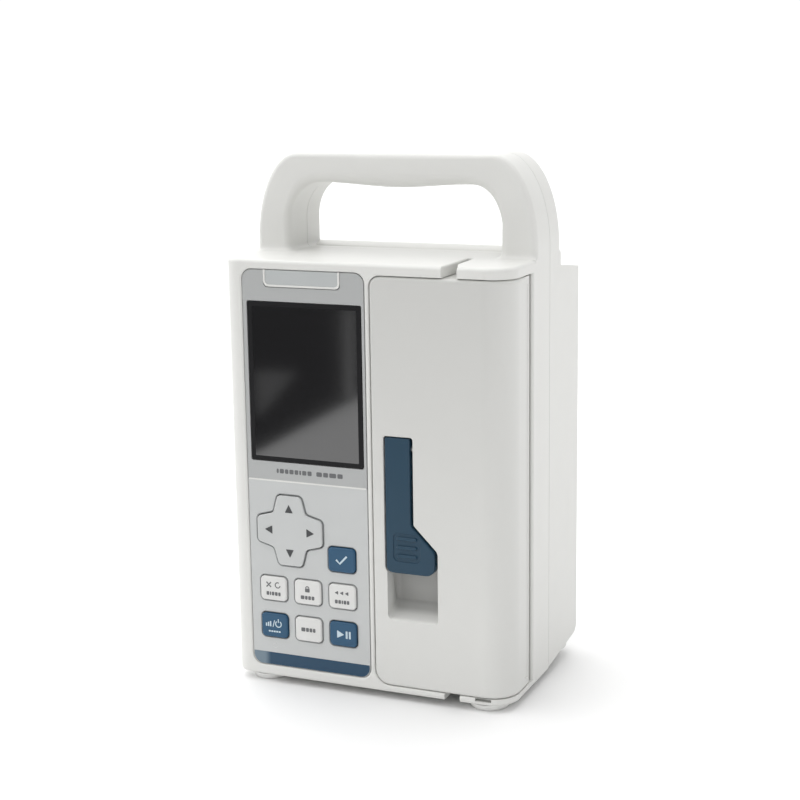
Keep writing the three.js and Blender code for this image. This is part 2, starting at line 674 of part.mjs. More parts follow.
// ---------------------------------------------------------------- pole clamp
function clampBody() {
  const { x0, x1, z0, z1, arm, spine, rear, y0 } = CLAMP;
  const grooveDepth = 6; // of the V that holds the pole
  const grooveHalf = 11;
  const plan = polygon([
    [x0, y0],
    [x1, y0],
    [x1, rear - 4],
    [x1 - 4, rear],
    [x1 - arm, rear],
    [x1 - arm, SCREW.y + grooveHalf],
    [x1 - arm + grooveDepth, SCREW.y],
    [x1 - arm, SCREW.y - grooveHalf],
    [x1 - arm, y0 + spine],
    [x0 + arm, y0 + spine],
    [x0 + arm, rear],
    [x0 + 4, rear],
    [x0, rear - 4],
  ]);
  return cut(raise(plan, z0, z1), bar(SCREW.y, SCREW.z, x0 - 1, x0 + arm + 1, SCREW.r + GAP));
}

function clampJaw() {
  const x0 = CLAMP.x0 + CLAMP.arm + 0.5;
  const face = rectangle(x0, x0 + JAW.thick, SCREW.y - 12, SCREW.y + 12, 1.5);
  return cut(
    raise(face, CLAMP.z0 + 4, CLAMP.z1 - 4, 3),
    bar(SCREW.y, SCREW.z, x0 - 1, x0 + SCREW.seat + GAP, SCREW.r + GAP),
  );
}

// The knob's inner end stops short of the clamp arm when the jaw is fully closed.
const KNOB_X1 = CLAMP.x0 - JAW.travel - 0.5;
const KNOB_X0 = KNOB_X1 - SCREW.knobLength;

function clampScrew() {
  return bar(SCREW.y, SCREW.z, KNOB_X0 + 4, CLAMP.x0 + CLAMP.arm + 0.5 + SCREW.seat, SCREW.r);
}

function clampKnob() {
  const gripEnd = KNOB_X1 - 6;
  const lobes = [];
  for (let i = 0; i < 6; i++) {
    const a = (i * Math.PI) / 3;
    const [y, z] = [SCREW.y + 12 * Math.cos(a), SCREW.z + 12 * Math.sin(a)];
    lobes.push(bar(y, z, KNOB_X0, gripEnd, 4.4, 10));
  }
  return cut(
    join(bar(SCREW.y, SCREW.z, KNOB_X0, gripEnd, 12), bar(SCREW.y, SCREW.z, gripEnd - 1, KNOB_X1, 7), ...lobes),
    bar(SCREW.y, SCREW.z, KNOB_X0 + 3.7, KNOB_X1 + 1, SCREW.r + GAP),
  );
}

// ---------------------------------------------------------------- assembly
const pump = new THREE.Group();
pump.position.set(0, -ORIGIN_Y, FOOT_H);

function place(name, part, surface) {
  const { vertProperties, triVerts } = part.getMesh();
  const g = new THREE.BufferGeometry();
  g.setAttribute("position", new THREE.BufferAttribute(vertProperties, 3));
  g.setIndex(new THREE.BufferAttribute(triVerts, 1));
  g.computeVertexNormals();
  const mesh = new THREE.Mesh(g, surface);
  mesh.name = name;
  pump.add(mesh);
}

place("front_housing", frontHousing(), SURFACE.casing);
place("rear_housing", rearHousing(), SURFACE.casing);

place("control_panel", controlPanel(), SURFACE.film);
place(
  "lcd_window",
  push(rectangle(WINDOW.x0, WINDOW.x1, WINDOW.z0, WINDOW.z1, 0.8), PANEL.y0, PANEL.y1, 2),
  SURFACE.glass,
);
place("lcd_module", box(-58.6, -0.2, 4, 8.6, 103.5, 181.5), SURFACE.dark);
place("alarm_lens", alarmLens(), SURFACE.lens);
place("keypad_mat", keypadMat(), SURFACE.silicone);
place("main_board", mainBoard(), SURFACE.board);
place("dpad", directionPad(), SURFACE.film);
place("dpad_pivot", padPivot(), SURFACE.moulding);
for (const name of Object.keys(KEYS)) {
  const blue = ["key_power", "key_start", "key_enter"].includes(name);
  place(name, push(keyOutline(name), KEY.front, KEY.rear, 2), blue ? SURFACE.blue : SURFACE.whiteKey);
}

place("door_shell", doorShell(), SURFACE.casing);
place("door_liner", doorLiner(), SURFACE.moulding);
place("hinge_pin_top", hingePin(DOOR.z1 - HINGE.tab + 0.2, TOP - 2.2), SURFACE.steel);
place("hinge_pin_bottom", hingePin(1.5, DOOR.z0 + HINGE.tab - 0.2), SURFACE.steel);
place("latch_lever", latchLever(), SURFACE.blue);
place("lever_pin", bar(LEVER_PIN.y, LEVER_PIN.z, 8, 24.8, LEVER_PIN.r, 16), SURFACE.steel);
place("latch_bar", latchBar(), SURFACE.steel);
place("strike_plate", strikePlate(), SURFACE.steel);
place("platen", platen(), SURFACE.steel);
place("platen_spring_lower", platenSpring(SPRING.z[0]), SURFACE.steel);
place("platen_spring_upper", platenSpring(SPRING.z[1]), SURFACE.steel);

place("pump_frame", pumpFrame(), SURFACE.moulding);
for (let i = 0; i < FINGERS; i++) place("finger_" + (i + 1), finger(i), SURFACE.whiteKey);
place("camshaft", camshaft(), SURFACE.brass);
place("bearing_bottom", bearing(PUMP_MID - 51), SURFACE.steel);
place("bearing_top", bearing(PUMP_MID + 45), SURFACE.steel);
place("cam_pulley", pulley(TUBE_X, SHAFT.y, PULLEY.camR, SHAFT.r), SURFACE.moulding);
place("motor_pulley", pulley(MOTOR.x, MOTOR.y, PULLEY.motorR, MOTOR.shaftR), SURFACE.brass);
place("drive_belt", driveBelt(), SURFACE.rubber);
place("stepper_motor", stepperMotor(), SURFACE.dark);
place("motor_shaft", motorShaft(), SURFACE.steel);
place("bubble_sensor", bubbleSensor(), SURFACE.dark);
place("pressure_sensor", pressureSensor(), SURFACE.steel);

place("battery_pack", batteryPack(), SURFACE.battery);
place("battery_cover", batteryCover(), SURFACE.casing);
place("power_inlet", powerInlet(), SURFACE.dark);
place("power_board", powerBoard(), SURFACE.board);
place("speaker", speaker(), SURFACE.dark);
place("foot_front_left", foot(-56, 11.5), SURFACE.rubber);
place("foot_front_right", foot(56, 11.5), SURFACE.rubber);
place("foot_rear_left", foot(-56, 86), SURFACE.rubber);
place("foot_rear_right", foot(56, 86), SURFACE.rubber);

place("clamp_body", clampBody(), SURFACE.casing);
place("clamp_jaw", clampJaw(), SURFACE.dark);
place("clamp_screw", clampScrew(), SURFACE.steel);
place("clamp_knob", clampKnob(), SURFACE.dark);

export default pump;
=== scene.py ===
"""Looks of a portable infusion pump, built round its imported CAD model.

Lengths are in millimetres in housing coordinates: x from the middle of the width, y back from the front
face, z up from the underside of the casing. place() turns them into the row frame, in metres.
"""
import json
import math

import bmesh
import bpy
from mathutils import Matrix, Vector


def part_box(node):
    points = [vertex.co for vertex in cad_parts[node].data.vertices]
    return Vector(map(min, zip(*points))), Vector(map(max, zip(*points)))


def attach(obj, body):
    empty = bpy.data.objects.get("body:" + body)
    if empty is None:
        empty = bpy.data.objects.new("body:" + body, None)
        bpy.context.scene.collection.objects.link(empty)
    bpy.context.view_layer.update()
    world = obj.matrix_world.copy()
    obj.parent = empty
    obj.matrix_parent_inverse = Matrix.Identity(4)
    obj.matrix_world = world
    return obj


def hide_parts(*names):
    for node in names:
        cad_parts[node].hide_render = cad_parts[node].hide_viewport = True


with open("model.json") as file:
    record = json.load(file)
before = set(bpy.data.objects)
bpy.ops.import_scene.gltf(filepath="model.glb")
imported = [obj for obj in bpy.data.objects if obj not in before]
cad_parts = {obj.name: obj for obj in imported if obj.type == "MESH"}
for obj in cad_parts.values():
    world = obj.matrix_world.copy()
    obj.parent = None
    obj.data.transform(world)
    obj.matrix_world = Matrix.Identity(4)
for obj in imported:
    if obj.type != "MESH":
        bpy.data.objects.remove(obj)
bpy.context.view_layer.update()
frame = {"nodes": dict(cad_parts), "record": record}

# ---------------------------------------------------------------- places and sizes
MM = 0.001
FRONT_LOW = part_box("front_housing")[0]  # left edge, front face and underside of the casing


def place(x, y, z):
    """Housing millimetres to the row frame in metres."""
    return Vector((x * MM, FRONT_LOW.y + y * MM, FRONT_LOW.z + z * MM))


def span(node):
    """A CAD node's lowest and highest corner in housing millimetres."""
    return [
        Vector((p.x, p.y - FRONT_LOW.y, p.z - FRONT_LOW.z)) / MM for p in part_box(node)
    ]


HALF = span("front_housing")[1].x
TOP = 199.0  # top of the shelf
SEAM_FRONT = span("front_housing")[1].y
SEAM_REAR = span("rear_housing")[0].y
REAR = span("rear_housing")[1].y
LEFT_EDGE_R = 8
RIGHT_EDGE_R = 13
WALL = 2.5
HANDLE_FRONT = 35
HANDLE_REAR = 70
HANDLE_TOP = 245.3
HANDLE_SHOULDER = 203  # where the handle's outer bend starts
HANDLE_CORNER = 48.5  # where the outer bend ends, either side of the middle
LEG_INNER = 52.8
OPENING_SPRING = 213  # where the hand opening's bend starts
OPENING_CORNER = 38  # where it ends, either side of the middle
OPENING_ROOF = 231.3
GRIP_SAG = 1.9
BAY_LOW, BAY_HIGH = 3.2, 193.9
BAY_LEFT = 3.3
PANEL_LOW, PANEL_HIGH = span("control_panel")
DOOR_LOW, DOOR_HIGH = span("door_shell")
DOOR_REAR = 21.7
HINGE_X, HINGE_Y = 67, 25.7
HINGE_COVE = 5.5  # radius of the casing's hollow round the door's barrel
HINGE_EYE = 2.6  # radius of the barrel
HINGE_TAB = 3.4  # height of the barrel's solid ends
PIN_BORE = 1.55
LEVER_PIN_Y, LEVER_PIN_Z = 3.2, 116
LEVER_BORE = 1.35
SPINDLE_Y = 130.0  # the clamp's screw, behind the casing
SPINDLE_Z = (span("clamp_body")[0].z + span("clamp_body")[1].z) / 2
SPINDLE_BORE = 4.3
SEAT_GAP = 0.3  # round what is set into the casing
KEY_GAP = 0.4
FINE = 10  # steps in a quarter turn of a large corner
PRINT = 0.07  # thickness of printed marks

# ---------------------------------------------------------------- outlines


def arc(cu, cv, r, start, stop, steps=FINE):
    """Points on a circle from start to stop, in degrees."""
    turn = [math.radians(start + (stop - start) * k / steps) for k in range(steps + 1)]
    return [(cu + r * math.cos(a), cv + r * math.sin(a)) for a in turn]


def ring_of(u, v, r, sides=24):
    """A circle as an outline."""
    return arc(u, v, r, 0, 360 * (sides - 1) / sides, sides - 1)


def rounded(points, radii, steps=5):
    """A polygon with a fillet at each corner; radii is one number or one for each corner."""
    if isinstance(radii, (int, float)):
        radii = [radii] * len(points)
    made = []
    for i, r in enumerate(radii):
        p = Vector(points[i])
        a = (Vector(points[i - 1]) - p).normalized()
        b = (Vector(points[(i + 1) % len(points)]) - p).normalized()
        if r <= 0 or abs(a.cross(b)) < 1e-6:
            made.append(tuple(p))
            continue
        half = a.angle(b) / 2
        centre = p + (a + b).normalized() * (r / math.sin(half))
        first = p + a * (r / math.tan(half)) - centre
        last = p + b * (r / math.tan(half)) - centre
        start = math.atan2(first.y, first.x)
        sweep = math.atan2(first.cross(last), first.dot(last))
        for k in range(steps + 1):
            t = start + sweep * k / steps
            made.append((centre.x + r * math.cos(t), centre.y + r * math.sin(t)))
    return made


def rectangle(u0, u1, v0, v1, radii=0.0, steps=5):
    """Corners in the order lower left, lower right, upper right, upper left."""
    return rounded([(u0, v0), (u1, v0), (u1, v1), (u0, v1)], radii, steps)


def border(node, gap=0.0, radii=0.0, steps=5):
    """The rectangle round a CAD node in front view, grown by gap."""
    low, high = span(node)
    return rectangle(low.x - gap, high.x + gap, low.z - gap, high.z + gap, radii, steps)


def grown(outline, d):
    """The outline moved outwards by d, or inwards where d is negative."""
    if not d:
        return list(outline)
    made = []
    n = len(outline)
    for i in range(n):
        p = Vector(outline[i])
        a = p - Vector(outline[i - 1])
        b = Vector(outline[(i + 1) % n]) - p
        na = Vector((a.y, -a.x)).normalized()
        nb = Vector((b.y, -b.x)).normalized()
        out = (na + nb) / max(0.3, 1 + na.dot(nb))
        made.append(tuple(p + out * d))
    return made


# ---------------------------------------------------------------- solids
PUT = {
    "front": lambda u, v, w: place(u, w, v),
    "plan": lambda u, v, w: place(u, v, w),
    "side": lambda u, v, w: place(w, u, v),
}


def skin(name, rings, closed=True):
    """A mesh through rings of points, capped at both ends."""
    bm = bmesh.new()
    loops = [[bm.verts.new(p) for p in ring] for ring in rings]
    n = len(loops[0])
    for low, high in zip(loops, loops[1:]):
        for i in range(n):
            j = (i + 1) % n
            bm.faces.new((low[i], low[j], high[j], high[i]))
    if closed:
        bm.faces.new(loops[0][::-1])
        bm.faces.new(loops[-1])
    bmesh.ops.recalc_face_normals(bm, faces=bm.faces)
    mesh = bpy.data.meshes.new(name)
    bm.to_mesh(mesh)
    bm.free()
    piece = bpy.data.objects.new(name, mesh)
    bpy.context.scene.collection.objects.link(piece)
    return piece


def quarter(r, steps):
    """(inset, rise) along a quarter-round edge, from the flat end to the side wall."""
    if not r:
        return [(0, 0)]
    turn = [k * math.pi / 2 / steps for k in range(steps + 1)]
    return [(r * (1 - math.sin(a)), r * (1 - math.cos(a))) for a in turn]


def slab(name, outline, w0, w1, plane="front", r0=0.0, r1=0.0, steps=4):
    """The outline between w0 and w1, with its edges rounded by r0 at w0 and r1 at w1."""
    levels = [(w0 + rise, -inset) for inset, rise in quarter(r0, steps)]
    levels += [(w1 - rise, -inset) for inset, rise in reversed(quarter(r1, steps))]
    put = PUT[plane]
    return skin(name, [[put(u, v, w) for u, v in grown(outline, d)] for w, d in levels])


def pit(outline, surface, floor, plane="front", mouth=0.0, root=0.0, steps=4):
    """A cutter from outside the surface down to the floor; mouth rounds the rim, root the floor's edge."""
    way = 1 if floor > surface else -1
    levels = [(surface - way * 6, mouth)]
    levels += [(surface + way * rise, inset) for inset, rise in quarter(mouth, steps)]
    levels += [(floor - way * rise, -inset) for inset, rise in reversed(quarter(root, steps))]
    put = PUT[plane]
    return skin("pit", [[put(u, v, w) for u, v in grown(outline, d)] for w, d in levels])


def block(x0, x1, y0, y1, z0, z1, name="block", r=0.0):
    return slab(name, rectangle(x0, x1, z0, z1, r), y0, y1, "front", r * 0.7, r * 0.7, 3)


def round_post(name, u, v, w0, w1, r, plane, r0=0.0, r1=0.0, sides=48):
    return slab(name, ring_of(u, v, r, sides), w0, w1, plane, r0, r1)


def apply_modifiers(piece):
    bpy.context.view_layer.update()
    graph = bpy.context.evaluated_depsgraph_get()
    old = piece.data
    piece.data = bpy.data.meshes.new_from_object(piece.evaluated_get(graph))
    piece.data.name = piece.name
    piece.modifiers.clear()
    bpy.data.meshes.remove(old)


def combine(base, tools, operation):
    """Joins, cuts or intersects base with each tool in turn, and removes the tools."""
    for tool in tools:
        step = base.modifiers.new("step", "BOOLEAN")
        step.operation = operation
        step.solver = "MANIFOLD"
        step.object = tool
    apply_modifiers(base)
    for tool in tools:
        bpy.data.objects.remove(tool)
    return base


def carve(base, *tools):
    return combine(base, tools, "DIFFERENCE")


def fuse(base, *tools):
    return combine(base, tools, "UNION")


def common(base, *tools):
    return combine(base, tools, "INTERSECT")


def shade(piece, angle=34):
    """Smooth shading that stays crisp over sharp edges and flat on flat faces."""
    bm = bmesh.new()
    bm.from_mesh(piece.data)
    bmesh.ops.remove_doubles(bm, verts=bm.verts, dist=2e-6)
    bmesh.ops.dissolve_degenerate(bm, edges=bm.edges, dist=2e-6)
    limit = math.radians(angle)
    for face in bm.faces:
        face.smooth = True
    for edge in bm.edges:
        edge.smooth = edge.is_manifold and edge.calc_face_angle(0) < limit
    bm.to_mesh(piece.data)
    bm.free()
    weigh = piece.modifiers.new("weighted normals", "WEIGHTED_NORMAL")
    weigh.keep_sharp = True
    weigh.weight = 80
    return piece


def dress(piece, material, body="chassis", replaces=()):
    """Gives a finished piece its material and its body, and hides the CAD nodes it replaces."""
    piece.data.materials.clear()
    piece.data.materials.append(material)
    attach(piece, body)
    if replaces:
        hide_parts(*replaces)
    return piece


# ---------------------------------------------------------------- materials


def link(tree, source, socket, target, name):
    tree.links.new(source.outputs[socket], target.inputs[name])


def surface(name, colour, rough, grain=0.35, depth=0.01, mottle=0.015, patch=14.0, metal=0.0, spread=0.05):
    """A moulded, painted or machined surface: fine grain in its relief and gloss, slow patches in colour."""
    made = bpy.data.materials.new(name)
    made.use_nodes = True
    tree = made.node_tree
    shader = tree.nodes["Principled BSDF"]
    shader.inputs["Metallic"].default_value = metal
    where = tree.nodes.new("ShaderNodeTexCoord")
    fine = tree.nodes.new("ShaderNodeTexNoise")
    fine.inputs["Scale"].default_value = 1 / (grain * MM)
    fine.inputs["Detail"].default_value = 3
    slow = tree.nodes.new("ShaderNodeTexNoise")
    slow.inputs["Scale"].default_value = 1 / (patch * MM)
    slow.inputs["Detail"].default_value = 4
    link(tree, where, "Object", fine, "Vector")
    link(tree, where, "Object", slow, "Vector")
    tint = tree.nodes.new("ShaderNodeValToRGB")
    tint.name = "tint"
    low, high = tint.color_ramp.elements
    low.position, high.position = 0.3, 0.7
    low.color = (*[c * (1 - mottle) for c in colour], 1)
    high.color = (*[min(1, c * (1 + mottle)) for c in colour], 1)
    link(tree, slow, "Fac", tint, "Fac")
    link(tree, tint, "Color", shader, "Base Color")
    gloss = tree.nodes.new("ShaderNodeMapRange")
    gloss.inputs["To Min"].default_value = rough - spread
    gloss.inputs["To Max"].default_value = rough + spread
    link(tree, fine, "Fac", gloss, "Value")
    link(tree, gloss, "Result", shader, "Roughness")
    relief = tree.nodes.new("ShaderNodeBump")
    relief.inputs["Strength"].default_value = 0.5
    relief.inputs["Distance"].default_value = depth * MM
    link(tree, fine, "Fac", relief, "Height")
    link(tree, relief, "Normal", shader, "Normal")
    return made


def glossy(made, coat, coat_ior=1.5, coat_rough=0.05, ior=1.5):
    """Adds a clear coat and sets how strongly the surface reflects."""
    shader = made.node_tree.nodes["Principled BSDF"]
    shader.inputs["IOR"].default_value = ior
    shader.inputs["Coat Weight"].default_value = coat
    shader.inputs["Coat IOR"].default_value = coat_ior
    shader.inputs["Coat Roughness"].default_value = coat_rough
    return made


def two_tone(made, axis, edge, width, colour):
    """Changes a surface's colour past a line along one axis, in metres, over a soft width."""
    tree = made.node_tree
    shader = tree.nodes["Principled BSDF"]
    where = next(n for n in tree.nodes if n.type == "TEX_COORD")
    split = tree.nodes.new("ShaderNodeSeparateXYZ")
    link(tree, where, "Object", split, "Vector")
    ramp = tree.nodes.new("ShaderNodeMapRange")
    ramp.inputs["From Min"].default_value = edge - width / 2
    ramp.inputs["From Max"].default_value = edge + width / 2
    link(tree, split, axis, ramp, "Value")
    mix = tree.nodes.new("ShaderNodeMixRGB")
    link(tree, ramp, "Result", mix, "Fac")
    tree.links.new(shader.inputs["Base Color"].links[0].from_socket, mix.inputs["Color1"])
    mix.inputs["Color2"].default_value = (*colour, 1)
    link(tree, mix, "Color", shader, "Base Color")
    return made


def brushed(name, colour, rough, axis=2):
    """Metal with fine drawn lines along one axis."""
    made = surface(name, colour, rough, grain=0.6, depth=0.004, mottle=0.05, metal=1.0)
    tree = made.node_tree
    where = next(n for n in tree.nodes if n.type == "TEX_COORD")
    stretch = tree.nodes.new("ShaderNodeMapping")
    scale = [3.0, 3.0, 3.0]
    scale[axis] = 0.08
    stretch.inputs["Scale"].default_value = scale
    link(tree, where, "Object", stretch, "Vector")
    fine = next(n for n in tree.nodes if n.type == "TEX_NOISE")
    link(tree, stretch, "Vector", fine, "Vector")
    return made


SEPARATOR_Z = 96.1  # the line across the control panel
STRIPE_Z = 11.6  # top of the blue stripe
STRIPE_PALE_END = -52.5
casing_white = surface("casing white", (0.715, 0.715, 0.692), 0.42, depth=0.012, mottle=0.008)
# Painted shade: the door's white darkens towards its top except near its right edge, and the scoop's white
# darkens deeper in; both stand for the soft fall of light over the door and into its scoop.
door_white_painted_shade = two_tone(
    surface("door white painted shade", (0.675, 0.675, 0.653), 0.42, depth=0.012, mottle=0.008),
    "Z",
    place(0, 0, 115).z,
    0.16,
    (0.585, 0.585, 0.566),
)
# Painted light: past x 64 mm, near the door's rounded right edge, the white is kept lighter.
two_tone(door_white_painted_shade, "X", place(64, 0, 0).x, 0.012, (0.67, 0.67, 0.649))
# Painted shade: the scoop's white turns much darker past 9 mm deep.
scoop_white_painted_shade = two_tone(
    surface("scoop white painted shade", (0.68, 0.68, 0.658), 0.5, depth=0.012, mottle=0.008),
    "Y",
    place(0, 9.0, 0).y,
    0.008,
    (0.34, 0.34, 0.328),
)
film_grey = two_tone(
    surface("panel film", (0.54, 0.552, 0.549), 0.38, grain=0.25, depth=0.006),
    "Z",
    place(0, 0, SEPARATOR_Z).z,
    0.0002,
    (0.423, 0.432, 0.43),
)
lens_grey = surface("smoked lens", (0.48, 0.50, 0.50), 0.25, grain=0.6, depth=0.004)
window_black = surface("display border", (0.008, 0.008, 0.009), 0.4, depth=0.0, spread=0.01)
glossy(window_black, 0, ior=1.3)
screen_black = surface("display", (0.003, 0.003, 0.004), 0.07, depth=0.0, spread=0.01)
glossy(screen_black, 1, coat_ior=1.72, coat_rough=0.07, ior=1.65)
blue = surface("dark blue", (0.004, 0.039, 0.075), 0.4, grain=0.4, depth=0.008)
key_blue = surface("key blue", (0.012, 0.074, 0.152), 0.36, grain=0.3, depth=0.006)
key_white = surface("key white", (0.70, 0.70, 0.686), 0.4, grain=0.3, depth=0.006)
print_dark = surface("dark print", (0.05, 0.052, 0.055), 0.5, depth=0.004)
print_grey = surface("grey print", (0.13, 0.134, 0.138), 0.5, depth=0.004)
print_faint = surface("faint print", (0.27, 0.28, 0.285), 0.5, depth=0.004)
print_light = surface("light print", (0.55, 0.66, 0.72), 0.45, depth=0.004)
stripe_blue = two_tone(
    surface("stripe blue", (0.16, 0.22, 0.27), 0.35, depth=0.004),
    "X",
    place(STRIPE_PALE_END, 0, 0).x,
    0.003,
    (0.006, 0.047, 0.100),
)
moulding_grey = surface("grey moulding", (0.62, 0.63, 0.62), 0.45)
silicone_grey = surface("silicone grey", (0.27, 0.29, 0.30), 0.6, grain=0.5)
board_green = surface("circuit board", (0.012, 0.09, 0.04), 0.35, grain=1.4, depth=0.03, mottle=0.25, patch=3)
plastic_black = surface("black plastic", (0.018, 0.019, 0.02), 0.45, grain=0.45, depth=0.015, mottle=0.1)
steel = brushed("brushed steel", (0.58, 0.59, 0.60), 0.28)
brass = brushed("turned brass", (0.62, 0.46, 0.20), 0.3)
belt_black = surface("belt rubber", (0.012, 0.012, 0.012), 0.7, grain=0.8, depth=0.05, mottle=0.1)
can_black = glossy(surface("black can", (0.02, 0.02, 0.022), 0.3, mottle=0.1), 0.3)
wrap_blue = glossy(surface("blue wrap", (0.02, 0.09, 0.26), 0.22, mottle=0.05), 0.5)
rubber_grey = surface("rubber", (0.80, 0.80, 0.78), 0.75, grain=0.5, depth=0.02, mottle=0.04)
clamp_paint = surface("powder coat", (0.66, 0.66, 0.64), 0.5, grain=0.7, depth=0.05)

SLOT_MATERIAL = {
    "casing": casing_white,
    "panel_film": film_grey,
    "window": window_black,
    "lens": lens_grey,
    "blue_plastic": blue,
    "white_key": key_white,
    "silicone": silicone_grey,
    "board": board_green,
    "moulding": moulding_grey,
    "dark_plastic": plastic_black,
    "steel": steel,
    "brass": brass,
    "belt": belt_black,
    "motor_can": can_black,
    "battery_wrap": wrap_blue,
    "foot_rubber": rubber_grey,
    "clamp_metal": clamp_paint,
}


def dress_cad_nodes():
    """The CAD nodes that stay get their material, welded corners and a small bevel."""
    for part in frame["record"]["subparts"]:
        node = frame["nodes"][part["node"]]
        node.data.materials.clear()
        node.data.materials.append(SLOT_MATERIAL[part["material_slot"]])
        for face in node.data.polygons:
            face.use_smooth = False
        weld = node.modifiers.new("weld", "WELD")
        weld.merge_threshold = 2e-6
        edge = node.modifiers.new("bevel", "BEVEL")
        edge.width = 0.25 * MM
        edge.segments = 2
        edge.limit_method = "ANGLE"
        edge.angle_limit = math.radians(40)


# ---------------------------------------------------------------- camera, floor and light


def camera():
    """The photograph's viewpoint: a long lens, turned to the right side and a little above."""
    turn, rise, roll = (math.radians(a) for a in (23.453, 11.641, -0.833))
    back = Vector((math.sin(turn) * math.cos(rise), -math.cos(turn) * math.cos(rise), math.sin(rise)))
    level = Vector((0, 0, 1)).cross(back).normalized()
    upright = back.cross(level)
    right = level * math.cos(roll) + upright * math.sin(roll)
    up = upright * math.cos(roll) - level * math.sin(roll)
    middle = place(0, 50, 95)
    spot = middle + (right * -3.784 + up * 32.108 + back * 809.52) * MM
    data = bpy.data.cameras.new("camera")
    data.sensor_width = 36
    data.lens = 75.75
    cam = bpy.data.objects.new("camera", data)
    cam.matrix_world = Matrix.Translation(spot) @ Matrix((right, up, back)).transposed().to_4x4()
    bpy.context.scene.collection.objects.link(cam)
    bpy.context.scene.camera = cam


def stage_sheet(name, points, z, material):
    """A flat sheet of the studio, through points in the row frame."""
    bm = bmesh.new()
    bm.faces.new([bm.verts.new((x, y, z)) for x, y in points])
    mesh = bpy.data.meshes.new(name)
    bm.to_mesh(mesh)
    bm.free()
    sheet = bpy.data.objects.new(name, mesh)
    mesh.materials.append(material)
    bpy.context.scene.collection.objects.link(sheet)


# How bright the sky is against how far a direction leans towards its bright side, from -1 to 1.
SKY = [(-1.0, 0.26), (-0.35, 0.28), (-0.15, 0.42), (0.28, 1.03), (0.6, 1.10), (1.0, 2.55)]
SKY_PEAK = SKY[-1][1]
SKY_LEAN = (-0.42, 0.20, 0.885)


def surround():
    """A white sky that is brightest overhead and to the left, and dimmer on the right and in front."""
    world = bpy.data.worlds.new("surround")
    world.use_nodes = True
    tree = world.node_tree
    where = tree.nodes.new("ShaderNodeTexCoord")
    lean = tree.nodes.new("ShaderNodeVectorMath")
    lean.operation = "DOT_PRODUCT"
    lean.inputs[1].default_value = Vector(SKY_LEAN).normalized()
    ramp = tree.nodes.new("ShaderNodeValToRGB")
    ramp.color_ramp.elements.remove(ramp.color_ramp.elements[1])
    for k, (spot, level) in enumerate(SKY):
        stop = ramp.color_ramp.elements[0] if k == 0 else ramp.color_ramp.elements.new(0.5 + spot / 2)
        stop.position = 0.5 + spot / 2
        share = level / SKY_PEAK
        stop.color = (share, share, share, 1)
    half = tree.nodes.new("ShaderNodeMapRange")
    half.inputs["From Min"].default_value = -1
    link(tree, where, "Generated", lean, 0)
    link(tree, lean, "Value", half, "Value")
    link(tree, half, "Result", ramp, "Fac")
    link(tree, ramp, "Color", tree.nodes["Background"], "Color")
    tree.nodes["Background"].inputs["Strength"].default_value = SKY_PEAK
    bpy.context.scene.world = world


# Corners of the card's and the felt's reflections on the display.
CARD_SEEN = [(-9, 138), (-4, 138), (-3, 179), (-9, 179)]
FELT_SEEN = [(-54, 124), (-46, 133), (-33, 147.5), (-55, 147)]

# The cloth's outline on the floor, in the row frame; the notch at B, C and D lets a light corner into
# the display's reflection.
CLOTH_EDGE = [
    (-0.281, -0.485),
    (-0.295, -0.705),
    (-0.25, -0.705),
    (-0.13, -0.45),
    (0.0, -0.50),
    (0.70, -1.9),
    (-1.7, -1.9),
    (-0.9, -0.485),
]


def floor_seen(x, z):
    """Where the floor is that the display mirrors to the camera at a point of its face."""
    eye = bpy.context.scene.camera.matrix_world.translation
    spot = place(x, span("lcd_window")[0].y, z)
    ray = spot - eye
    ray.y = -ray.y
    hit = spot - ray * (spot.z / ray.z)
    return hit.x, hit.y


def studio():
    """A pale floor, a soft white surround, and the dark sheets that the display reflects."""
    pale = surface("floor white", (0.88, 0.88, 0.88), 0.6, grain=4, depth=0.0, mottle=0.002, patch=90)
    reach = 40
    corners = [(-reach, -reach), (reach, -reach), (reach, reach), (-reach, reach)]
    thick = 0.0006
    stage_sheet("floor", corners, 0, pale)
    cloth = surface("dark cloth", (0.014, 0.014, 0.014), 0.9, grain=2, depth=0.1, mottle=0.1)
    stage_sheet("cloth", CLOTH_EDGE, thick, cloth)
    card = surface("grey card", (0.42, 0.42, 0.42), 0.9, grain=2, depth=0.1, mottle=0.05)
    stage_sheet("card", [floor_seen(*p) for p in CARD_SEEN], 2 * thick, card)
    felt = surface("dark felt", (0.22, 0.22, 0.22), 0.9, grain=2, depth=0.1, mottle=0.1)
    stage_sheet("felt", [floor_seen(*p) for p in FELT_SEEN], 2 * thick, felt)
    surround()
    bpy.context.scene.view_settings.view_transform = "Standard"


# ---------------------------------------------------------------- casing


def handle_stations():
    """Pairs of inner and outer points of the handle in front view, from the left leg round to the right."""
    inner_width, inner_rise = LEG_INNER - OPENING_CORNER, OPENING_ROOF - OPENING_SPRING
    outer_width, outer_rise = HALF - HANDLE_CORNER, HANDLE_TOP - HANDLE_SHOULDER
    heights = (190, TOP, 199.1, 199.4, 199.9, 200.6, 201.6, HANDLE_SHOULDER)
    leg = [((-LEG_INNER, z), (-HALF, z)) for z in heights]
    bend_steps, grip_steps = 16, 24
    bend = []
    for k in range(1, bend_steps + 1):
        a = math.radians(90 * k / bend_steps)
        c, s = math.cos(a), math.sin(a)
        inner = (-OPENING_CORNER - inner_width * c, OPENING_SPRING + inner_rise * s)
        outer = (-HANDLE_CORNER - outer_width * c, HANDLE_SHOULDER + outer_rise * s)
        bend.append((inner, outer))
    grip = []
    for k in range(1, grip_steps):
        t = k / grip_steps * 2 - 1
        sag = GRIP_SAG * math.cos(math.pi * t / 2) ** 2
        grip.append(((OPENING_CORNER * t, OPENING_ROOF - sag), (HANDLE_CORNER * t, HANDLE_TOP)))
    left = leg + bend
    right = [((-i[0], i[1]), (-o[0], o[1])) for i, o in reversed(left)]
    return left + grip + right


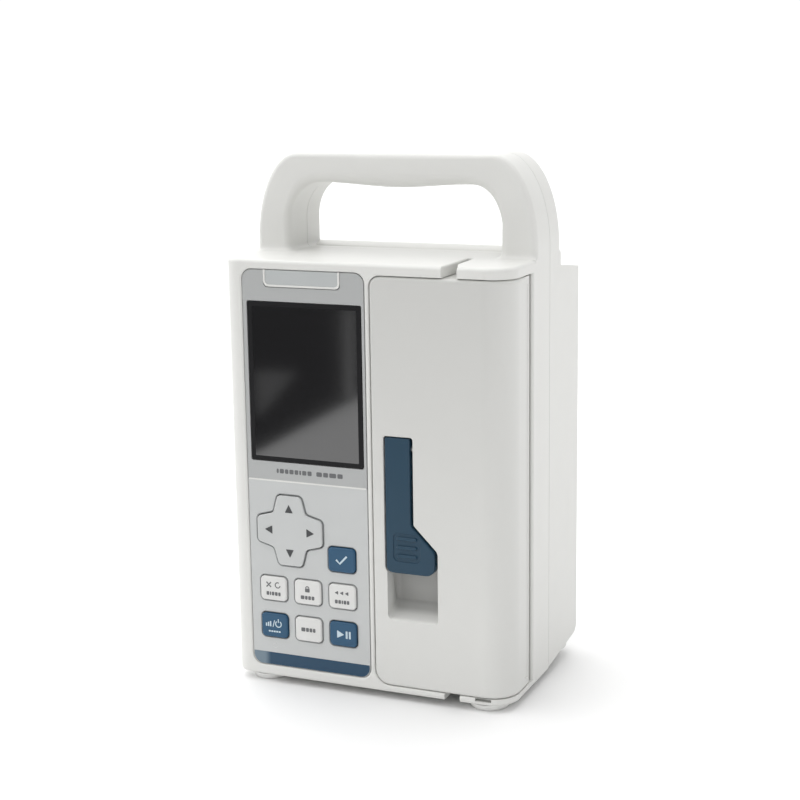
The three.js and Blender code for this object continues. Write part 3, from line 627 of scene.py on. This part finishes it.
def handle_half(name, y_seam, y_face, leg_r, grip_r, outer_r):
    """Half of the handle from the seam to its front or rear face, with a rolled root.

    The edge round the hand opening has radius leg_r on the legs and grip_r under the grip.
    """
    way = 1 if y_face > y_seam else -1
    root = 2.6
    rings = []
    for inner, outer in handle_stations():
        i, o = Vector(inner), Vector(outer)
        along = (o - i).normalized()
        width = (o - i).length
        inner_r = leg_r + (grip_r - leg_r) * along.y**2
        on_leg = i.y < OPENING_SPRING - 6
        h = min(root, max(0.0, min(i.y, o.y) - TOP)) if on_leg else root
        flare = root - math.sqrt(root * root - (root - h) ** 2)
        face = y_face + way * flare
        section = [(-flare, y_seam)]
        for a in range(0, 91, 15):
            c, s = math.cos(math.radians(a)), math.sin(math.radians(a))
            section.append((inner_r - flare - inner_r * c, face - way * inner_r * (1 - s)))
        for a in range(90, -1, -18):
            c, s = math.cos(math.radians(a)), math.sin(math.radians(a))
            section.append((width - outer_r + outer_r * c, face - way * outer_r * (1 - s)))
        section.append((width, y_seam))
        spots = [(i + along * s, y) for s, y in section]
        rings.append([place(spot.x, y, spot.y) for spot, y in spots])
    return skin(name, rings)


LEVER_NECK = 22.2  # right edge of the lever's upright part
LEVER_REVEAL = 1.0  # extra room in the door on the right of the lever


def lever_outline(margin=0.0, reveal=0.0):
    """The lever in front view: a straight arm that widens to a foot on its right."""
    low, high = span("latch_lever")
    side = high.x + reveal
    neck = LEVER_NECK + reveal
    points = [(low.x, low.z), (side, low.z), (side, 69.3), (neck, 81), (neck, high.z), (low.x, high.z)]
    return grown(rounded(points, [3.2, 4.6, 3.4, 2, 0.8, 0.8]), margin)


def cross_outline(margin=0.0):
    """The four-way pad: arms that narrow to their tips, with soft inner corners."""
    low, high = span("dpad")
    x, z = (low.x + high.x) / 2, (low.z + high.z) / 2
    reach = (high.x - low.x) / 2
    root, tip = 8.3, 6.0
    points = []
    radii = []
    for arm in range(4):
        c, s = math.cos(arm * math.pi / 2), math.sin(arm * math.pi / 2)
        for (u, v), r in (((root, -root), 2.6), ((reach, -tip), 2.2), ((reach, tip), 2.2)):
            points.append((x + u * c - v * s, z + u * s + v * c))
            radii.append(r)
    return grown(rounded(points, radii), margin)


KEY_NAMES = [n for n in frame["nodes"] if n.startswith("key_")]


def key_outline(name, margin=0.0):
    """A key with rounded corners, grown by margin."""
    return grown(border(name, 0, 2.0), margin)


def tube_notch():
    """Plan of the slot for the infusion tube: a mouth that narrows to a short straight end."""
    return [(38, -3), (45.5, -3), (45.5, 0.8), (41.4, 12)] + arc(39.3, 32.7, 1.3, 0, 180, 8)


def front_shell():
    """The front half of the casing and handle, hollow, with its bay for the door."""
    corners = [LEFT_EDGE_R, RIGHT_EDGE_R, 0, 0]
    plan = rectangle(-HALF, HALF, 0, SEAM_FRONT + 5, corners, FINE)
    shell = slab("front_casing", plan, 0, TOP, "plan", 1.4, 1.8)
    fuse(shell, handle_half("handle", SEAM_FRONT + 5, HANDLE_FRONT, 3.3, 7, 3))
    inner = HALF - WALL
    # In plan the bay runs off the right side, past a rounded edge and the cove round the door's barrel.
    bay = [(BAY_LEFT, -8), (90, -8), (90, 32.3)] + arc(68.5, 32.3, 1.5, 0, -80, 6)
    bay += arc(HINGE_X, HINGE_Y, HINGE_COVE, 71, 166) + [(BAY_LEFT, 27)]
    bay_front = rectangle(BAY_LEFT, 90, BAY_LOW, BAY_HIGH, [7.6, 0, 0, 5.2], 8)
    cavity = [(-inner, 29.5)] + arc(HINGE_X, HINGE_Y, HINGE_COVE + 2.1, 150, 86)
    cavity += [(inner, 60), (-inner, 60)]
    behind_seam = block(-90, 90, SEAM_FRONT, 90, -20, 260)
    panel_space = block(-inner, 0.8, 3.6, 40, BAY_LOW, TOP - 2.7)
    lens_slot = block(-45.3, -14.7, 1, 8, 188.9, 193.1)
    edge_slot = block(52.8, 60.6, -2, 6, 1.7, 3.1, r=0.3)
    finger_window = block(34.2, 45, 20, 32, 63, 137, r=1)
    bubble_window = block(35.3, 43.9, 20, 32, 152.7, 161.3, r=0.5)
    pressure_port = round_post("port", 39.6, 50, 20, 32, 3.3, "front")
    tools = [
        behind_seam,
        common(slab("bay", bay, BAY_LOW, BAY_HIGH, "plan"), slab("bay_front", bay_front, -8, 40)),
        pit(bay_front, 0, 4, mouth=0.8),
        slab("cavity", cavity, 2.7, TOP - 2.7, "plan"),
        panel_space,
        pit(border("control_panel", SEAT_GAP, 5, 8), 0, 1.6, mouth=0.9, root=0.2),
        slab("window_hole", border("lcd_window", -1.5), 1, 8),
        lens_slot,
        slab("pad_hole", cross_outline(0.5), 1, 8),
        pit(tube_notch(), TOP, BAY_HIGH - 4, "plan", mouth=0.9),
        pit(tube_notch(), 0, BAY_LOW + 4, "plan", mouth=0.6),
        edge_slot,
        finger_window,
        pressure_port,
        bubble_window,
        round_post("hinge_bore", HINGE_X, HINGE_Y, 1.2, TOP - 1.9, PIN_BORE, "plan"),
    ]
    tools += [slab("key_hole", key_outline(n, KEY_GAP), 1, 8) for n in KEY_NAMES]
    # The two holes in the deck take the latch's hooks.
    tools += [block(5.9, 12, 20, 32, z - 8, z + 5, r=0.6) for z in (40, 160)]
    shade(carve(shell, *tools))
    return dress(shell, casing_white, replaces=["front_housing"])


SCREW_SPOTS = [(x, z) for x in (-60, 60) for z in (60, 118, 176)]
SCREW_SEAT = 99.0


def rear_shell():
    """The rear half of the casing and handle, with a sloping top, a raised lip and openings in the back."""
    side = rounded(
        [(48, 0.1), (95.2, 5.2), (REAR, 10.5), (REAR, 188), (REAR - 1, 189), (48, 195.5)],
        [0, 5, 3.5, 0.6, 0.6, 0],
    )
    shell = slab("rear_casing", side, -HALF, HALF, "side", 0.9, 0.9)
    common(shell, slab("plan", rectangle(-HALF, HALF, 40, REAR, [0, 0, 4, 4]), -5, 205, "plan"))
    saddle = rectangle(48, HANDLE_REAR, TOP - 14, TOP, [0, 0, 1.5, 0])
    crest = TOP + 1.9
    lip = [(57, TOP - 2), (HANDLE_REAR, TOP - 2), (HANDLE_REAR, crest), (67.3, crest), (57, TOP - 0.05)]
    lip = rounded(lip, [0, 0, 0.5, 3, 8])
    hollow = grown([(40, 2), (95, 6.8), (98.4, 11), (98.4, 183), (96, 186), (40, 191.6)], -0.4)
    inner = HALF - WALL
    fuse(
        shell,
        slab("saddle", saddle, -HALF, HALF, "side", 1, 1),
        slab("lip", lip, -LEG_INNER - 1, LEG_INNER + 1, "side"),
        handle_half("handle", SEAM_REAR - 5, HANDLE_REAR, 3, 3.5, 3),
        *[round_post("boss", x, 86, 0, 8, 12, "plan", 0.8) for x in (-56, 56)],
    )
    tools = [
        block(-90, 90, 0, SEAM_REAR, -20, 260),
        slab("hollow", hollow, -inner, inner, "side"),
        block(-inner, inner, 50, HANDLE_REAR - WALL, TOP - 16, TOP - WALL),
        pit(border("power_inlet", SEAT_GAP, 1.5), REAR, 90, mouth=0.4),
        pit(border("battery_cover", SEAT_GAP, 2), REAR, 90, mouth=0.4),
    ]
    # Speaker slots.
    for i in range(-3, 4):
        z = 160 + 4 * i
        tools.append(pit(rectangle(-52, -32, z - 1.1, z + 1.1, 1.05), REAR, 90, mouth=0.5))
    tools += [pit(ring_of(x, z, 3.6), REAR, SCREW_SEAT - 0.1, mouth=0.3) for x, z in SCREW_SPOTS]
    shade(carve(shell, *tools))
    return dress(shell, casing_white, replaces=["rear_housing"])


def screw(name, x, y, z, r=3.0):
    """A pan-head screw in the back, with a cross recess; y is its bearing face."""
    top = y + 1.9
    head = round_post(name, x, z, y - 0.1, top, r, "front", 0, 0.8)
    slots = []
    for long_x, long_z in ((r * 0.62, 0.45), (0.45, r * 0.62)):
        outline = rectangle(x - long_x, x + long_x, z - long_z, z + long_z, 0.1, 2)
        slots.append(pit(outline, top, top - 1.1))
    shade(carve(head, *slots))
    dress(head, steel, "chassis")


# ---------------------------------------------------------------- control side


def control_film():
    """The panel's film, with its openings."""
    front = PANEL_LOW.y
    film = slab("panel_sheet", border("control_panel", 0, 4.8, 8), front, PANEL_HIGH.y, r0=0.25, steps=2)
    low, high = span("alarm_lens")
    left, right = low.x - SEAT_GAP, high.x + SEAT_GAP
    lens_seat = rectangle(left, right, low.z - SEAT_GAP, PANEL_HIGH.z + 3, [2, 2, 0, 0])
    tools = [
        pit(border("lcd_window", SEAT_GAP, 1), front, 4, mouth=0.15),
        pit(lens_seat, front, 4),
        pit(cross_outline(0.5), front, 4, mouth=0.15),
    ]
    tools += [pit(key_outline(n, KEY_GAP), front, 4, mouth=0.15) for n in KEY_NAMES]
    shade(carve(film, *tools))
    return dress(film, film_grey, replaces=["control_panel"])


def display():
    """The window with its dull border, and the glossy area inside it."""
    low, high = span("lcd_window")
    glass = slab("display_window", border("lcd_window", 0, 0.8), low.y, high.y, r0=0.2)
    dress(shade(glass), window_black, replaces=["lcd_window"])
    margin = 2.2
    area = slab("display_area", border("lcd_window", -margin, 0.3), low.y - 0.03, low.y)
    dress(shade(area), screen_black)


def alarm_lens():
    """The lens over the alarm lights and the raised rim round its lower three sides."""
    low, high = span("alarm_lens")
    face = rectangle(low.x, high.x, low.z, PANEL_HIGH.z, [1.9, 1.9, 0.3, 0.3])
    lens = slab("lens_cover", face, PANEL_LOW.y, PANEL_HIGH.y, r0=0.2)
    fuse(lens, block(-45, -15, PANEL_HIGH.y - 0.1, 7, 189.2, 192.8))
    dress(shade(lens), lens_grey, replaces=["alarm_lens"])
    width = 1.0
    left, right, top = low.x - 0.2, high.x + 0.2, PANEL_HIGH.z + 0.2
    rim_points = [
        (left, top),
        (left, low.z),
        (right, low.z),
        (right, top),
        (right - width, top),
        (right - width, low.z + width),
        (left + width, low.z + width),
        (left + width, top),
    ]
    outline = rounded(rim_points, [0.35, 2.6, 2.6, 0.35, 0.35, 1.8, 1.8, 0.35])
    rim = slab("lens_rim", outline, PANEL_LOW.y - 0.35, PANEL_LOW.y, r0=0.3)
    dress(shade(rim), casing_white)


def gather(pieces):
    """Puts separate pieces into the first one's mesh, as they are."""
    base, *others = pieces
    bm = bmesh.new()
    for piece in pieces:
        bm.from_mesh(piece.data)
    bm.to_mesh(base.data)
    bm.free()
    for piece in others:
        bpy.data.objects.remove(piece)
    return base


def marks(name, outlines, y, material, body):
    """Thin printed shapes just proud of the surface at y, as one piece."""
    printed = gather([slab(name, outline, y - PRINT, y + 0.01) for outline in outlines])
    return dress(printed, material, body)


def ring_print(name, holes, width, y):
    """A thin printed line of the given width round each hole."""
    rings = []
    for hole in holes:
        ring = slab(name, grown(hole, width), y - PRINT, y + 0.01)
        rings.append(carve(ring, slab("hole", hole, y - 1, y + 1)))
    return dress(gather(rings), print_faint, "chassis")


def triangle(x, z, size, heading):
    """An arrow head pointing along heading, in degrees."""
    turn = [math.radians(heading + a) for a in (0, 125, 235)]
    return rounded([(x + size * math.cos(a), z + size * math.sin(a)) for a in turn], 0.15, 2)


def dashes(x, z, widths, height, gap=0.45):
    """A row of short bars, centred on x, where the real object has a word."""
    total = sum(widths) + gap * (len(widths) - 1)
    left = x - total / 2
    made = []
    for w in widths:
        made.append(rectangle(left, left + w, z - height / 2, z + height / 2, height * 0.2, 2))
        left += w + gap
    return made


def stroke(points, width):
    """An open line of the given width as a closed outline."""
    left = []
    right = []
    for i, p in enumerate(points):
        before = Vector(points[max(0, i - 1)])
        after = Vector(points[min(len(points) - 1, i + 1)])
        way = (after - before).normalized()
        side = Vector((way.y, -way.x)) * width / 2
        left.append(tuple(Vector(p) + side))
        right.append(tuple(Vector(p) - side))
    return left + right[::-1]


def key_marks(name, x, z):
    """Generic symbols: each key's outlines around its centre."""
    if name == "key_enter":
        return [stroke([(x - 2.6, z + 0.1), (x - 0.8, z - 1.7), (x + 2.8, z + 2.1)], 0.9)]
    if name == "key_clear":
        cross = [stroke([(x - 3.6, z + 0.7), (x - 1.2, z + 3.1)], 0.6)]
        cross += [stroke([(x - 3.6, z + 3.1), (x - 2.7, z + 2.2)], 0.6)]
        cross += [stroke([(x - 2.1, z + 1.6), (x - 1.2, z + 0.7)], 0.6)]
        loop = stroke(arc(x + 2.3, z + 1.9, 1.3, 60, 350, 10), 0.5)
        return cross + [loop] + dashes(x, z - 2.4, [1.4, 0.7, 1.3, 1.4, 1.2], 1.8, 0.35)
    if name == "key_menu":
        lock = [rectangle(x - 1.2, x + 1.2, z + 0.3, z + 2.1, 0.3, 2)]
        lock += [stroke(arc(x, z + 2.2, 0.85, 0, 180, 8), 0.45)]
        return lock + dashes(x, z - 2.4, [1.9, 1.3, 1.4, 1.4], 1.8, 0.35)
    if name == "key_bolus":
        heads = [triangle(x + d, z + 1.9, 1.15, 180) for d in (-2.6, 0, 2.6)]
        return heads + dashes(x, z - 2.4, [1.4, 1.3, 0.7, 1.3, 1.2], 1.8, 0.35)
    if name == "key_mode":
        return dashes(x, z, [2.1, 1.5, 1.4, 1.3], 1.9, 0.35)
    if name == "key_power":
        ring = [stroke(arc(x + 2.1, z + 0.9, 1.5, 125, 415, 14), 0.5)]
        ring += [stroke([(x + 2.1, z + 1.6), (x + 2.1, z + 3.4)], 0.5)]
        slash = [stroke([(x - 0.8, z - 0.7), (x + 0.1, z + 2.6)], 0.4)]
        level = []
        for k in range(3):
            left = x - 4.6 + 1.1 * k
            level.append(rectangle(left, left + 0.7, z - 0.6, z + 1.0 + 0.5 * k, 0.1, 2))
        return ring + slash + level + dashes(x, z - 2.9, [1.0] * 5, 0.8, 0.3)
    play = [triangle(x - 1.6, z, 2.3, 0)]
    return play + [rectangle(x + d, x + d + 0.95, z - 1.8, z + 1.8, 0.15, 2) for d in (1.5, 3.1)]


BLUE_KEYS = ("key_power", "key_start", "key_enter")


def keys():
    """Seven keys with rounded fronts, each with its symbol."""
    for name in KEY_NAMES:
        low, high = span(name)
        front = low.y + PRINT
        paint, paint_slot, ink, ink_slot = key_white, "white_key", print_grey, "dark_plastic"
        if name in BLUE_KEYS:
            paint, paint_slot, ink, ink_slot = key_blue, "blue_plastic", print_light, "white_key"
        cap = slab(name + "_cap", key_outline(name), front, high.y, r0=0.9, steps=5)
        dress(shade(cap), paint, name, [name])
        x, z = (low.x + high.x) / 2, (low.z + high.z) / 2
        marks(name + "_symbol", key_marks(name, x, z), front, ink, name)


def direction_pad():
    """The pad, hollowed behind for its pivot, with an arrow on each arm."""
    low, high = span("dpad")
    pad = slab("pad_cross", cross_outline(), low.y, high.y, r0=0.5)
    x, z = (low.x + high.x) / 2, (low.z + high.z) / 2
    carve(pad, pit(ring_of(x, z, 3), high.y, high.y - 1.9))
    dress(shade(pad), film_grey, "pad", ["dpad"])
    heads = []
    for heading in (0, 90, 180, 270):
        a = math.radians(heading)
        heads.append(triangle(x + 10.3 * math.cos(a), z + 10.3 * math.sin(a), 2.5, heading))
    marks("pad_arrows", heads, low.y, print_dark, "pad")


def panel_print():
    """The dividing line, stripe, caption, borders and indicator of the control panel."""
    y = PANEL_LOW.y
    low, high = PANEL_LOW, PANEL_HIGH
    half = 0.4
    line = rectangle(low.x + half, high.x - half, SEPARATOR_Z - half, SEPARATOR_Z + half, 0.3)
    divider = slab("divider", line, y - 0.2, y, r0=0.18)
    dress(shade(divider), casing_white)
    stripe = rectangle(low.x + 0.3, high.x - 0.3, low.z + 0.2, STRIPE_Z, [4.6, 4.6, 0.2, 0.2], 8)
    marks("stripe", [stripe], y, stripe_blue, "chassis")
    caption_z, caption_height = 100.9, 2.1
    caption = dashes(-35.9, caption_z, [1.0, 2.1, 1.7, 2.1, 1.8, 0.9, 2.1, 2.1], caption_height, 0.6)
    caption += dashes(-17.8, caption_z, [2.8, 2.4, 3.4, 2.6], caption_height, 0.7)
    marks("caption_bars", caption, y, print_grey, "chassis")
    ring_print("pad_border", [cross_outline(0.55)], 0.35, y)
    ring_print("key_borders", [key_outline(n, 0.45) for n in KEY_NAMES], 0.3, y)
    ring = stroke(arc(-48.4, 15.2, 1.1, 0, 350, 20), 0.25)
    marks("indicator", [ring], y, moulding_grey, "chassis")


# ---------------------------------------------------------------- door


SCOOP_LEFT, SCOOP_RIGHT = 10.5, 35.3


def door():
    """The door's shell with its lever pocket, finger scoop and hinge barrel."""
    low, high = DOOR_LOW, DOOR_HIGH
    edge = 1.5
    snug = 0.4  # how far the door's edge fills the gap round it
    face = rectangle(low.x - snug, 95, low.z - snug, high.z + snug, [7.2, 0, 0, 4.8], 8)
    plan = rectangle(-10, high.x, 0, DOOR_REAR, [0, RIGHT_EDGE_R, 1.8, 0], FINE)
    hollow = rectangle(low.x + WALL, high.x - WALL, WALL, 40, [0, RIGHT_EDGE_R - WALL, 0, 0], FINE)
    shell = slab("door_cover", face, 0, DOOR_REAR, "front", edge, 0.3)
    common(shell, slab("wrap", plan, low.z - snug, high.z + snug, "plan", edge, edge))
    carve(shell, slab("hollow", hollow, low.z + WALL, high.z - WALL, "plan"))
    well = slab("well", lever_outline(2.4, LEVER_REVEAL), WALL - 0.5, 14)
    common(well, block(0, 60, 0, 20, 50, 130))
    eye_left, eye_right = HINGE_X - HINGE_EYE, HINGE_X + HINGE_EYE
    barrel = [
        block(eye_left, eye_right, DOOR_REAR - 4, HINGE_Y, low.z, low.z + HINGE_TAB),
        block(eye_left, eye_right, DOOR_REAR - 4, HINGE_Y, high.z - HINGE_TAB, high.z),
        block(HALF - WALL + 0.1, HINGE_X + 2.2, DOOR_REAR - 1, HINGE_Y, low.z, high.z),
        round_post("barrel", HINGE_X, HINGE_Y, low.z, high.z, HINGE_EYE, "plan"),
    ]
    fuse(shell, well, block(8.5, 37.5, WALL - 0.5, 14, 34, 66), *barrel)
    # The scoop in side view: a rolled lip, a floor that rises inwards, and a back wall that leans out.
    scoop = rounded(
        [(-6, 34.5), (-1, 34.5), (0.8, 36.2), (10, 39.6), (12.4, 42), (10.5, 68), (-6, 68)],
        [0, 1, 3, 6, 1.2, 0, 0],
    )
    tools = [
        pit(lever_outline(0.5, LEVER_REVEAL), 0, 6.2, mouth=0.35, root=0.3),
        slab("scoop", scoop, SCOOP_LEFT, SCOOP_RIGHT, "side", 2.2, 1.2, 6),
        block(9.4, LEVER_NECK + 0.5, 1, 11.5, 107.5, 122.4),
        block(9.4, 13.1, 6, 15, 98.7, 114),
        slab("bore", ring_of(LEVER_PIN_Y, LEVER_PIN_Z, LEVER_BORE), 7.7, 25.1, "side"),
        round_post("bore", HINGE_X, HINGE_Y, 0, TOP, PIN_BORE, "plan"),
    ]
    shade(carve(shell, *tools))
    dress(shell, door_white_painted_shade, "door", ["door_shell"])
    # The faces inside the scoop take the white with painted shade, darker deeper in.
    shell.data.materials.append(scoop_white_painted_shade)
    near, far = place(SCOOP_LEFT - 0.1, 0.1, 34), place(SCOOP_RIGHT + 0.1, 13, 66)
    for face in shell.data.polygons:
        if all(a < c < b for a, c, b in zip(near, face.center, far)):
            face.material_index = 1


def lever():
    """The latch lever, with three grip ridges in a shallow dish and the crank that moves the latch."""
    low, high = span("latch_lever")
    front, rear = 0.2, 5.2
    arm = slab("lever_arm", lever_outline(), front, rear, r0=0.8, r1=0.2, steps=5)
    crank = block(10.2, 12.2, rear - 0.5, high.y, 112.5, 115.5, r=0.4)
    fuse(arm, crank)
    carve(arm, pit(rectangle(13.6, 26.8, 63.6, 77, 2.4), front, front + 0.4, mouth=0.2, root=0.2))
    ridges = []
    for z in (66.2, 70.3, 74.4):
        outline = rectangle(15.2, 25.2, z - 0.9, z + 0.9, 0.85)
        ridges.append(slab("ridge", outline, low.y, front + 1.0, r0=0.6))
    fuse(arm, *ridges)
    carve(arm, slab("bore", ring_of(LEVER_PIN_Y, LEVER_PIN_Z, LEVER_BORE), 0, 40, "side"))
    dress(shade(arm), blue, "lever", ["latch_lever"])


# ---------------------------------------------------------------- rear fittings, feet and clamp


def feet():
    """Four turned rubber feet."""
    for side in ("left", "right"):
        for end in ("front", "rear"):
            name = f"foot_{end}_{side}"
            low, high = span(name)
            x, y = (low.x + high.x) / 2, (low.y + high.y) / 2
            r = (high.x - low.x) / 2
            profile = [(r - 2.6, low.z), (r - 2.0, low.z + 0.15), (r - 1.6, low.z + 0.6)]
            profile += [(r - 0.3, high.z - 0.5), (r, high.z - 0.2), (r, high.z)]
            rings = [[place(u, v, w) for u, v in ring_of(x, y, q, 48)] for q, w in profile]
            pad = shade(skin(name + "_pad", rings))
            dress(pad, rubber_grey, "chassis", [name])


def battery_door():
    """The battery cover, with finger grooves and its screw."""
    low, high = span("battery_cover")
    x, z = -35, 20.5
    cover = slab("battery_lid", border("battery_cover", 0, 1.8), low.y, high.y, r1=0.6)
    grips = []
    for i in range(3):
        base = 42.4 + 1.9 * i
        grips.append(pit(rectangle(x - 8, x + 8, base, base + 1, 0.45), high.y, high.y - 0.7, mouth=0.2))
    hole = pit(ring_of(x, z, 3.4), high.y, high.y - 1.2, mouth=0.2)
    shade(carve(cover, hole, *grips))
    dress(cover, casing_white, "chassis", ["battery_cover"])
    screw("battery_screw", x, high.y - 1.5, z, r=2.7)


def inlet():
    """Appliance inlet: a flanged black socket with three blades."""
    low, high = span("power_inlet")
    flange = slab("inlet_socket", border("power_inlet", 0, 1.2), 98, high.y, r1=0.5)
    fuse(flange, block(33.5, 58.5, low.y, 99, 21.5, 40.5, r=0.5))
    mouth = rounded([(35, 23.5), (57, 23.5), (57, 34.5), (53, 38.5), (39, 38.5), (35, 34.5)], 0.8)
    carve(flange, pit(mouth, high.y, low.y + 2, mouth=0.5))
    dress(shade(flange), plastic_black, "chassis", ["power_inlet"])
    for i, (x, z) in enumerate(((39, 29), (46, 33), (53, 29))):
        blade = block(x - 1, x + 1, low.y + 1, 98, z - 2, z + 2, f"inlet_blade_{i + 1}", r=0.5)
        dress(shade(blade), brass, "chassis")


def clamp_bracket():
    """The pole clamp's bent arm with a V-shaped seat, drilled for the screw."""
    low, high = span("clamp_body")
    arm, depth, half = 12.0, 6.0, 11.0
    x0, x1 = low.x, high.x
    points = [
        (x0, low.y),
        (x1, low.y),
        (x1, high.y),
        (x1 - arm, high.y),
        (x1 - arm, SPINDLE_Y + half),
        (x1 - arm + depth, SPINDLE_Y),
        (x1 - arm, SPINDLE_Y - half),
        (x1 - arm, low.y + 10),
        (x0 + arm, low.y + 10),
        (x0 + arm, high.y),
        (x0, high.y),
    ]
    radii = [1, 1, 4, 1.5, 1, 1.2, 1, 4, 4, 1.5, 4]
    body = slab("clamp_bracket", rounded(points, radii), low.z, high.z, "plan", 0.8, 0.8)
    carve(body, slab("bore", ring_of(SPINDLE_Y, SPINDLE_Z, SPINDLE_BORE, 36), x0 - 1, x0 + arm + 1, "side"))
    dress(shade(body), clamp_paint, "chassis", ["clamp_body"])


def clamp_pad():
    """The sliding jaw, with five grooves in its face."""
    low, high = span("clamp_jaw")
    pad = slab("clamp_pad", rectangle(low.x, high.x, low.y, high.y, 1.5), low.z, high.z, "plan", 1, 1)
    tools = [slab("bore", ring_of(SPINDLE_Y, SPINDLE_Z, SPINDLE_BORE, 36), low.x - 1, low.x + 4.6, "side")]
    for k in range(1, 6):
        base = low.z + 4.5 * k
        tools.append(block(high.x - 0.6, high.x + 2, low.y - 1, high.y + 1, base, base + 1))
    shade(carve(pad, *tools))
    dress(pad, plastic_black, "jaw", ["clamp_jaw"])


def clamp_thread():
    """The clamp's screw, as rings whose radius follows the thread."""
    low, high = span("clamp_screw")
    length, r = high.x - low.x, (high.y - low.y) / 2
    pitch, depth, sides = 3.0, 0.7, 28
    steps = int(length / (pitch / 8))
    rings = []
    for k in range(steps + 1):
        x = low.x + length * k / steps
        ring = []
        for i in range(sides):
            a = 2 * math.pi * i / sides
            phase = (a / (2 * math.pi) - x / pitch) % 1.0
            cut = depth * max(0.0, min(1.0, 2.4 * abs(2 * phase - 1) - 0.7))
            reach = r - cut
            ring.append(place(x, SPINDLE_Y + reach * math.cos(a), SPINDLE_Z + reach * math.sin(a)))
        rings.append(ring)
    thread = shade(skin("clamp_thread", rings), 50)
    dress(thread, steel, "clamp_handle", ["clamp_screw"])


def clamp_handwheel():
    """The clamp's six-lobed knob, with a hub and a dished end."""
    low, high = span("clamp_knob")
    sides = 96
    star = []
    for i in range(sides):
        a = 2 * math.pi * i / sides
        r = 14.6 + 1.7 * math.cos(6 * a)
        star.append((SPINDLE_Y + r * math.cos(a), SPINDLE_Z + r * math.sin(a)))
    grip_end = high.x - 6
    knob = slab("clamp_handwheel", star, low.x, grip_end, "side", 2.2, 1.6, 5)
    fuse(knob, slab("hub", ring_of(SPINDLE_Y, SPINDLE_Z, 7, 48), grip_end - 3, high.x, "side", 0, 0.6))
    bore = slab("bore", ring_of(SPINDLE_Y, SPINDLE_Z, SPINDLE_BORE, 36), low.x + 3.7, high.x + 1, "side")
    dish = slab("dish", ring_of(SPINDLE_Y, SPINDLE_Z, 8.5, 48), low.x - 3, low.x + 1.2, "side", 0, 0.8)
    shade(carve(knob, bore, dish))
    dress(knob, plastic_black, "clamp_handle", ["clamp_knob"])


# ---------------------------------------------------------------- making
camera()
dress_cad_nodes()
studio()
front_shell()
rear_shell()
for number, (spot_x, spot_z) in enumerate(SCREW_SPOTS):
    screw(f"case_screw_{number + 1}", spot_x, SCREW_SEAT, spot_z)
control_film()
display()
alarm_lens()
keys()
direction_pad()
panel_print()
door()
lever()
feet()
battery_door()
inlet()
clamp_bracket()
clamp_pad()
clamp_thread()
clamp_handwheel()
